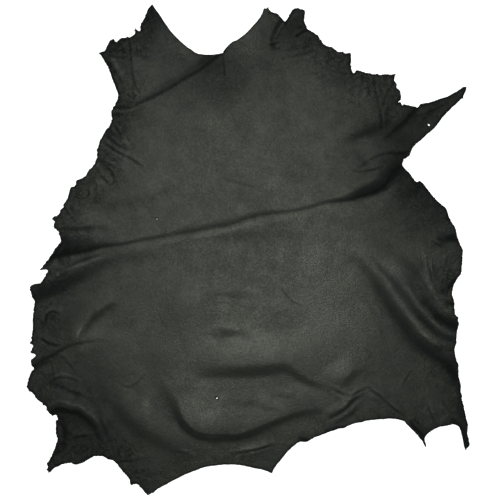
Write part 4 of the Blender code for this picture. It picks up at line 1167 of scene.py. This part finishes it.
def noise_map(tree, where, per_metre, detail=2.0, rough=0.5, warp=0.0):
    """Noise with per_metre waves in a metre, from 0 to 1."""
    node = tree.nodes.new("ShaderNodeTexNoise")
    node.inputs["Scale"].default_value = per_metre
    node.inputs["Detail"].default_value = detail
    node.inputs["Roughness"].default_value = rough
    node.inputs["Distortion"].default_value = warp
    tree.links.new(where, node.inputs["Vector"])
    return node.outputs["Fac"]


def cell_map(tree, where, per_metre):
    """Distances inside a pattern of cells, per_metre of them in a metre."""
    node = tree.nodes.new("ShaderNodeTexVoronoi")
    node.inputs["Scale"].default_value = per_metre
    tree.links.new(where, node.inputs["Vector"])
    return node.outputs["Distance"]


def fitted(tree, value, from_low, from_high, to_low, to_high):
    """A value moved from one range to another, and held inside it."""
    node = tree.nodes.new("ShaderNodeMapRange")
    for name, number in (("From Min", from_low), ("From Max", from_high),
                         ("To Min", to_low), ("To Max", to_high)):
        node.inputs[name].default_value = number
    tree.links.new(value, node.inputs["Value"])
    return node.outputs["Result"]


def combined(tree, kind, a, b):
    """Two values put together by a Math node. A plain number may stand for either."""
    node = tree.nodes.new("ShaderNodeMath")
    node.operation = kind
    for socket, value in zip(node.inputs, (a, b)):
        if isinstance(value, (int, float)):
            socket.default_value = value
        else:
            tree.links.new(value, socket)
    return node.outputs[0]


def mixed(tree, share, first, second):
    """A colour between two, each a socket or a plain colour."""
    node = tree.nodes.new("ShaderNodeMix")
    node.data_type = "RGBA"
    tree.links.new(share, node.inputs["Factor"])
    for socket, colour in ((node.inputs[6], first), (node.inputs[7], second)):
        if isinstance(colour, tuple):
            socket.default_value = (*colour, 1.0)
        else:
            tree.links.new(colour, socket)
    return node.outputs[2]


def painted(tree, name):
    """A float attribute of the skin."""
    node = tree.nodes.new("ShaderNodeAttribute")
    node.attribute_name = name
    return node.outputs["Fac"]


def bumped(tree, height, strength, reach, before=None):
    """A normal that a height pattern has bent. Its reach is in metres, its strength a socket too."""
    node = tree.nodes.new("ShaderNodeBump")
    if isinstance(strength, float):
        node.inputs["Strength"].default_value = strength
    else:
        tree.links.new(strength, node.inputs["Strength"])
    node.inputs["Distance"].default_value = reach
    tree.links.new(height, node.inputs["Height"])
    if before is not None:
        tree.links.new(before, node.inputs["Normal"])
    return node.outputs["Normal"]


# %% [markdown]
# The grain side. The tone picks a colour between a blue-black and a grey olive, and two
# noises mottle it, one in clouds of a few centimetres and one in flecks of a few
# millimetres. A third makes loose skin blotchy and crumpled. Where a fourth is near its
# middle value it draws thin lines, like the veins and fine creases of a skin, which show
# most where it is loose. Creases, the lines of folds and wrinkles, and the edges are
# darkened as painted shade, and crests are a little paler. Where the tone or the painted
# shade is dark, the finish is duller too.

# %% The grain side
BLACKEST = (0.0036, 0.0050, 0.0050)
GREYEST = (0.0300, 0.0345, 0.0270)
BLUE_CAST = (0.0085, 0.0130, 0.0220)
# The paler colour that crests are mixed towards.
CREST_PALE = (0.030, 0.031, 0.028)
SHEEN_TINT = (0.960, 1.0, 0.855, 1.0)
DULL, GLOSSY = 1.0, 0.31        # the roughness of the darkest and the greyest tone
CLOUDS, FLECKS = 24.0, 260.0    # these and the next, in a metre of leather
CRUMPLES, VEINS, WRINKLES, PEBBLES = 60.0, 34.0, 120.0, 620.0
VEIN_WIDE = 0.040               # of the noise's range, to each side of its middle


def make_grain_side():
    """The dyed upper side, with its mottling, its veins and its pebbles."""
    material, tree, shader, where = start_material("leather_grain_side")
    clouds = noise_map(tree, where, CLOUDS, detail=4.0, rough=0.62, warp=0.6)
    flecks = noise_map(tree, where, FLECKS, detail=5.0, rough=0.75)
    tone = combined(tree, "ADD", painted(tree, "tone"), fitted(tree, clouds, 0.3, 0.7, -0.15, 0.15))
    tone = combined(tree, "ADD", tone, fitted(tree, flecks, 0.3, 0.7, -0.32, 0.32))
    crumples = noise_map(tree, where, CRUMPLES, detail=5.0, rough=0.7, warp=2.2)
    worn = combined(tree, "MULTIPLY", painted(tree, "loose"),
                    fitted(tree, crumples, 0.3, 0.7, -0.5, 0.6))
    tone = combined(tree, "ADD", tone, worn)
    ridges = noise_map(tree, where, VEINS, detail=3.0, rough=0.6, warp=1.4)
    ridges = combined(tree, "ABSOLUTE", combined(tree, "SUBTRACT", ridges, 0.5), 0.0)
    veins = fitted(tree, ridges, 0.0, VEIN_WIDE, 1.0, 0.0)
    here_and_there = fitted(tree, noise_map(tree, where, 16.0), 0.44, 0.60, 0.0, 1.0)
    veins = combined(tree, "MULTIPLY", veins, here_and_there)
    where_loose = fitted(tree, painted(tree, "loose"), 0.0, 0.8, 0.10, 0.9)
    veins = combined(tree, "MULTIPLY", veins, where_loose)
    tone = combined(tree, "SUBTRACT", tone, veins)
    colour = mixed(tree, fitted(tree, tone, 0.0, 1.0, 0.0, 1.0), BLACKEST, GREYEST)
    blue = fitted(tree, noise_map(tree, where, 9.0, detail=5.0, rough=0.75), 0.44, 0.72, 0.0, 0.6)
    blue = combined(tree, "ADD", blue, fitted(tree, tone, 0.0, 0.6, 0.10, 0.0))
    colour = mixed(tree, blue, colour, BLUE_CAST)
    # Painted shade: the colour goes towards the blackest in creases, along the lines of folds and
    # wrinkles, and along the edges, most where they tore.
    dark = combined(tree, "MAXIMUM", fitted(tree, painted(tree, "crease"), 0.0, 1.0, 0.0, 0.6),
                    painted(tree, "line"))
    dark = combined(tree, "MAXIMUM", dark, fitted(tree, painted(tree, "edge"), 0.1, 1.0, 0.0, 0.9))
    colour = mixed(tree, dark, colour, BLACKEST)
    # Crests are a little paler.
    colour = mixed(tree, fitted(tree, painted(tree, "crest"), 0.1, 1.0, 0.0, 0.35), colour, CREST_PALE)
    tree.links.new(colour, shader.inputs["Base Color"])
    roughness = fitted(tree, combined(tree, "SUBTRACT", tone, dark), -1.1, 1.2, DULL, GLOSSY)
    tree.links.new(roughness, shader.inputs["Roughness"])
    shader.inputs["Specular IOR Level"].default_value = 0.5
    shader.inputs["Specular Tint"].default_value = SHEEN_TINT
    pebbles = cell_map(tree, where, PEBBLES)
    wrinkles = noise_map(tree, where, WRINKLES, detail=4.0, rough=0.62, warp=1.2)
    normal = bumped(tree, crumples, fitted(tree, painted(tree, "loose"), 0.05, 1.0, 0.0, 0.6), 0.005)
    normal = bumped(tree, combined(tree, "SUBTRACT", 1.0, veins), 0.6, 0.0008, normal)
    normal = bumped(tree, wrinkles, 0.32, 0.0012, normal)
    normal = bumped(tree, pebbles, 0.40, 0.00035, normal)
    tree.links.new(normal, shader.inputs["Normal"])
    return material


# %% [markdown]
# The flesh side is the inside of the skin: a short brushed nap, greyer and duller than the
# grain side, with no finish on it. Sheen gives the soft rim of light that a nap has. The
# cut edge shows bare fibres, so it is rougher still and a little browner.

# %% The flesh side and the cut edge
FLESH_DARK, FLESH_PALE, NAP = (0.018, 0.018, 0.017), (0.038, 0.037, 0.034), (0.060, 0.058, 0.053)
FIBRE_DARK, FIBRE_PALE = (0.008, 0.008, 0.007), (0.030, 0.028, 0.024)


def make_flesh_side():
    """The brushed underside."""
    material, tree, shader, where = start_material("leather_flesh_side")
    brushed = noise_map(tree, where, 34.0, detail=6.0, rough=0.7, warp=1.5)
    nap = noise_map(tree, where, 900.0, detail=3.0, rough=0.7)
    colour = mixed(tree, fitted(tree, brushed, 0.3, 0.7, 0.0, 1.0), FLESH_DARK, FLESH_PALE)
    colour = mixed(tree, fitted(tree, nap, 0.35, 0.75, 0.0, 0.5), colour, NAP)
    tree.links.new(colour, shader.inputs["Base Color"])
    shader.inputs["Roughness"].default_value = 0.95
    shader.inputs["Specular IOR Level"].default_value = 0.2
    shader.inputs["Sheen Weight"].default_value = 0.25
    shader.inputs["Sheen Roughness"].default_value = 0.5
    soft = bumped(tree, brushed, 0.3, 0.001)
    tree.links.new(bumped(tree, nap, 0.5, 0.0004, soft), shader.inputs["Normal"])
    return material


def make_cut_edge():
    """The bare fibres between the two sides."""
    material, tree, shader, where = start_material("leather_cut_edge")
    fibres = noise_map(tree, where, 1400.0, detail=3.0, rough=0.7)
    colour = mixed(tree, fitted(tree, fibres, 0.3, 0.7, 0.0, 1.0), FIBRE_DARK, FIBRE_PALE)
    tree.links.new(colour, shader.inputs["Base Color"])
    shader.inputs["Roughness"].default_value = 0.9
    shader.inputs["Specular IOR Level"].default_value = 0.2
    tree.links.new(bumped(tree, fibres, 0.5, 0.0003), shader.inputs["Normal"])
    return material


for finish in (make_grain_side(), make_flesh_side(), make_cut_edge()):
    mesh.materials.append(finish)
print("materials:", [finish.name for finish in mesh.materials])

# %% [markdown]
# Torn leather frays: short strands of fibre stick out of the torn stretches of the edge.
# They are one thing many times along a path, so Geometry Nodes places them. The edge
# becomes a curve and the curve becomes points. At some of the points a strand is set, turned
# outwards. Modelling each by hand would take far longer. This first cell gives the nodes
# their path, with two values at each of its points.

# %% The path of the torn edge
ROOT_DEPTH = 0.6    # mm that a strand's root sits inside the leather


def torn_path():
    """The outer edge as a line at half the leather's height, with how torn it is."""
    outer = inwards[loop] < 0.5
    places = np.column_stack([flat[loop] - outwards * ROOT_DEPTH,
                              heights[loop] + 0.6 * thick[loop]])
    onward = place_in_loop[loop_after]
    edges = [(index, onward[index]) for index in np.flatnonzero(outer & outer[onward])]
    path = bpy.data.meshes.new("torn_path")
    path.from_pydata(in_metres(places).tolist(), edges, [])
    path.attributes.new("torn", "FLOAT", "POINT").data.foreach_set("value", torn[loop])
    pointing = np.column_stack([outwards, np.zeros(len(loop))]).ravel()
    path.attributes.new("outwards", "FLOAT_VECTOR", "POINT").data.foreach_set("vector", pointing)
    return path


strands = bpy.data.objects.new("torn_strands", torn_path())
bpy.context.scene.collection.objects.link(strands)
print("torn path:", len(strands.data.edges), "edges")

# %% [markdown]
# The tree itself. Its spacing and length are named inputs in metres, and its root radius
# is a share of the length, so that someone else can fray another sheet with it. A strand
# is a bent line, thick at its root and thin at its tip. The more torn the edge, the more
# points keep theirs. All its chances come from one seed.

# %% A node tree for strands along an edge
SIDES, RINGS = 4, 5     # corners round a strand, and rings of them along it


def add_node(tree, kind, inputs=None, **settings):
    """A node with its settings, and each named input linked to a socket or set to a value."""
    node = tree.nodes.new(kind)
    for name, value in settings.items():
        setattr(node, name, value)
    for name, value in (inputs or {}).items():
        socket = next(found for found in node.inputs if found.name == name and found.enabled)
        if isinstance(value, bpy.types.NodeSocket):
            tree.links.new(value, socket)
        else:
            socket.default_value = value
    return next(found for found in node.outputs if found.enabled)


def one_strand(tree, root_radius):
    """A bent strand one metre long, thin at its tip. Where it is set, it is made smaller."""
    along = add_node(tree, "GeometryNodeSplineParameter")
    radius = add_node(tree, "ShaderNodeMapRange", {"Value": along, "To Min": 1.0, "To Max": 0.25})
    line = add_node(tree, "GeometryNodeCurveQuadraticBezier",
                    {"Resolution": RINGS - 1, "Start": (0.0, 0.0, 0.0),
                     "Middle": (0.5, 0.0, 0.0), "End": (1.0, 0.3, 0.1)})
    line = add_node(tree, "GeometryNodeSetCurveRadius", {"Curve": line, "Radius": radius})
    ring = add_node(tree, "GeometryNodeCurvePrimitiveCircle",
                    {"Resolution": SIDES, "Radius": root_radius})
    return add_node(tree, "GeometryNodeCurveToMesh",
                    {"Curve": line, "Profile Curve": ring, "Fill Caps": True})


def strand_tree():
    """Strands set along an edge, more of them where it is more torn."""
    tree = bpy.data.node_groups.new("strands_along_an_edge", "GeometryNodeTree")
    tree.interface.new_socket("Edge", in_out="INPUT", socket_type="NodeSocketGeometry")
    for name, kind in (("Spacing", "Float"), ("Length", "Float"), ("Share", "Float"),
                       ("Root Radius", "Float"), ("Seed", "Int"), ("Material", "Material")):
        tree.interface.new_socket(name, in_out="INPUT", socket_type="NodeSocket" + kind)
    tree.interface.new_socket("Strands", in_out="OUTPUT", socket_type="NodeSocketGeometry")
    given = {socket.name: socket for socket in tree.nodes.new("NodeGroupInput").outputs}

    strand = one_strand(tree, given["Root Radius"])
    curve = add_node(tree, "GeometryNodeMeshToCurve", {"Mesh": given["Edge"]})
    places = add_node(tree, "GeometryNodeCurveToPoints",
                      {"Curve": curve, "Length": given["Spacing"]}, mode="LENGTH")
    how_torn = add_node(tree, "GeometryNodeInputNamedAttribute", {"Name": "torn"}, data_type="FLOAT")
    chance = add_node(tree, "FunctionNodeRandomValue", {"Seed": given["Seed"]}, data_type="FLOAT")
    limit = add_node(tree, "ShaderNodeMath", operation="MULTIPLY")
    tree.links.new(how_torn, limit.node.inputs[0])
    tree.links.new(given["Share"], limit.node.inputs[1])
    kept = add_node(tree, "FunctionNodeCompare", {"A": chance, "B": limit},
                    data_type="FLOAT", operation="LESS_THAN")
    outward = add_node(tree, "GeometryNodeInputNamedAttribute", {"Name": "outwards"},
                       data_type="FLOAT_VECTOR")
    spray = add_node(tree, "FunctionNodeRandomValue",
                     {"Min": (-0.9, -0.9, 0.0), "Max": (0.9, 0.9, 0.35), "Seed": given["Seed"]},
                     data_type="FLOAT_VECTOR")
    towards = add_node(tree, "ShaderNodeVectorMath", operation="ADD")
    tree.links.new(outward, towards.node.inputs[0])
    tree.links.new(spray, towards.node.inputs[1])
    turn = add_node(tree, "FunctionNodeAlignRotationToVector", {"Vector": towards}, axis="X")
    size = add_node(tree, "FunctionNodeRandomValue",
                    {"Min": 0.3, "Max": 1.0, "Seed": given["Seed"]}, data_type="FLOAT")
    size = add_node(tree, "ShaderNodeVectorMath", {"Scale": size}, operation="SCALE")
    length = add_node(tree, "ShaderNodeCombineXYZ",
                      {axis: given["Length"] for axis in ("X", "Y", "Z")})
    tree.links.new(length, size.node.inputs[0])
    grown = add_node(tree, "GeometryNodeInstanceOnPoints",
                     {"Points": places, "Selection": kept, "Instance": strand,
                      "Rotation": turn, "Scale": size})
    grown = add_node(tree, "GeometryNodeRealizeInstances", {"Geometry": grown})
    grown = add_node(tree, "GeometryNodeSetMaterial",
                     {"Geometry": grown, "Material": given["Material"]})
    tree.links.new(grown, tree.nodes.new("NodeGroupOutput").inputs[0])
    return tree


tree = strand_tree()
print("strand tree:", len(tree.nodes), "nodes,", len(tree.links), "links")

# %% [markdown]
# The tree goes onto the path as a modifier. Its result is made a plain mesh at once, so
# that nothing is worked out again later. No strand may reach through the floor, so the
# print says how near to it the lowest one comes.

# %% Grow the strands
growth = strands.modifiers.new("strands", "NODES")
growth.node_group = tree
wanted = {"Spacing": 2.0 * MM, "Length": 7.0 * MM, "Share": 0.35, "Root Radius": 0.05, "Seed": 5,
          "Material": mesh.materials[CUT]}
for socket in tree.interface.items_tree:
    if socket.in_out == "INPUT" and socket.name in wanted:
        growth[socket.identifier] = wanted[socket.name]
evaluated = strands.evaluated_get(bpy.context.evaluated_depsgraph_get())
grown = bpy.data.meshes.new_from_object(evaluated)
strands.modifiers.remove(growth)
strands.data = grown
grown.shade_smooth()
lowest = min(vertex.co.z for vertex in grown.vertices) / MM
print("strands:", len(grown.vertices) / (SIDES * RINGS), " lowest, mm:", round(lowest, 3))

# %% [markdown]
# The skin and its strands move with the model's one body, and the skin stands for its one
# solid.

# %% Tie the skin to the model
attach(skin, "root")
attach(strands, "root")
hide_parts("hide")

# %% [markdown]
# The stage is as plain as can be: a wide pale floor, and studio lights. One large softbox
# stands beyond the neck and shines down along the back, so that slopes which face it are
# lit and the others fall into shade. A second one hangs overhead for the low sheen. The
# studio's walls glow near the horizon, so that low views show the folds too. The camera
# looks straight down, far enough away that the skin is barely foreshortened.

# %% The floor, the lights and the camera
FRAME_WIDE = 1.0            # metres of floor across the picture
LENS, SENSOR = 85.0, 36.0   # mm
LOOK_RIGHT, LOOK_DOWN = 500.0, 500.0
FLOOR_HALF = 20.0           # metres, so that low views don't show where it ends
FLOOR_GLOW = 1.0            # a light table's own light, which keeps the floor white
WALL_GLOW, SKY_GLOW = 0.45, 0.05


def make_floor():
    """A pale square that glows a little, like a light table."""
    corners = [(x * FLOOR_HALF, y * FLOOR_HALF, 0.0) for x, y in ((-1, -1), (1, -1), (1, 1), (-1, 1))]
    floor_mesh = bpy.data.meshes.new("floor")
    floor_mesh.from_pydata(corners, [], [(0, 1, 2, 3)])
    floor = bpy.data.objects.new("floor", floor_mesh)
    material = bpy.data.materials.new("pale_floor")
    material.use_nodes = True
    shader = material.node_tree.nodes["Principled BSDF"]
    shader.inputs["Base Color"].default_value = (0.9, 0.9, 0.9, 1.0)
    shader.inputs["Roughness"].default_value = 0.9
    shader.inputs["Specular IOR Level"].default_value = 0.1
    shader.inputs["Emission Color"].default_value = (1.0, 1.0, 1.0, 1.0)
    shader.inputs["Emission Strength"].default_value = FLOOR_GLOW
    floor_mesh.materials.append(material)
    bpy.context.scene.collection.objects.link(floor)
    return floor


def make_softbox(name, place, target, size, power):
    """A square softbox at place that shines towards target."""
    lamp = bpy.data.lights.new(name, "AREA")
    lamp.shape = "SQUARE"
    lamp.size = size
    lamp.energy = power
    softbox = bpy.data.objects.new(name, lamp)
    softbox.location = place
    softbox.rotation_euler = (Vector(target) - Vector(place)).to_track_quat("-Z", "Y").to_euler()
    bpy.context.scene.collection.objects.link(softbox)
    return softbox


floor = make_floor()
make_softbox("neck_softbox", (-0.3, 1.9, 2.2), (0.0, 0.0, 0.0), 1.4, 22.0)
make_softbox("overhead_softbox", (0.0, 0.1, 3.2), (0.0, 0.0, 0.0), 0.9, 22.0)
world = bpy.data.worlds.new("studio")
world.use_nodes = True
studio = world.node_tree
studio.nodes["Background"].inputs["Color"].default_value = (1.0, 1.0, 1.0, 1.0)
direction = studio.nodes.new("ShaderNodeSeparateXYZ")
studio.links.new(studio.nodes.new("ShaderNodeTexCoord").outputs["Generated"], direction.inputs[0])
walls = fitted(studio, direction.outputs["Z"], 0.10, 0.40, WALL_GLOW, SKY_GLOW)
studio.links.new(walls, studio.nodes["Background"].inputs["Strength"])
bpy.context.scene.world = world
bpy.context.scene.view_settings.view_transform = "Standard"

lens = bpy.data.cameras.new("camera")
lens.lens = LENS
lens.sensor_width = SENSOR
camera = bpy.data.objects.new("camera", lens)
look_at = in_metres([(LOOK_RIGHT, -LOOK_DOWN)])[0]
camera.location = (look_at[0], look_at[1], FRAME_WIDE * LENS / SENSOR)
bpy.context.scene.collection.objects.link(camera)
bpy.context.scene.camera = camera
print("camera height, m:", round(camera.location.z, 3))
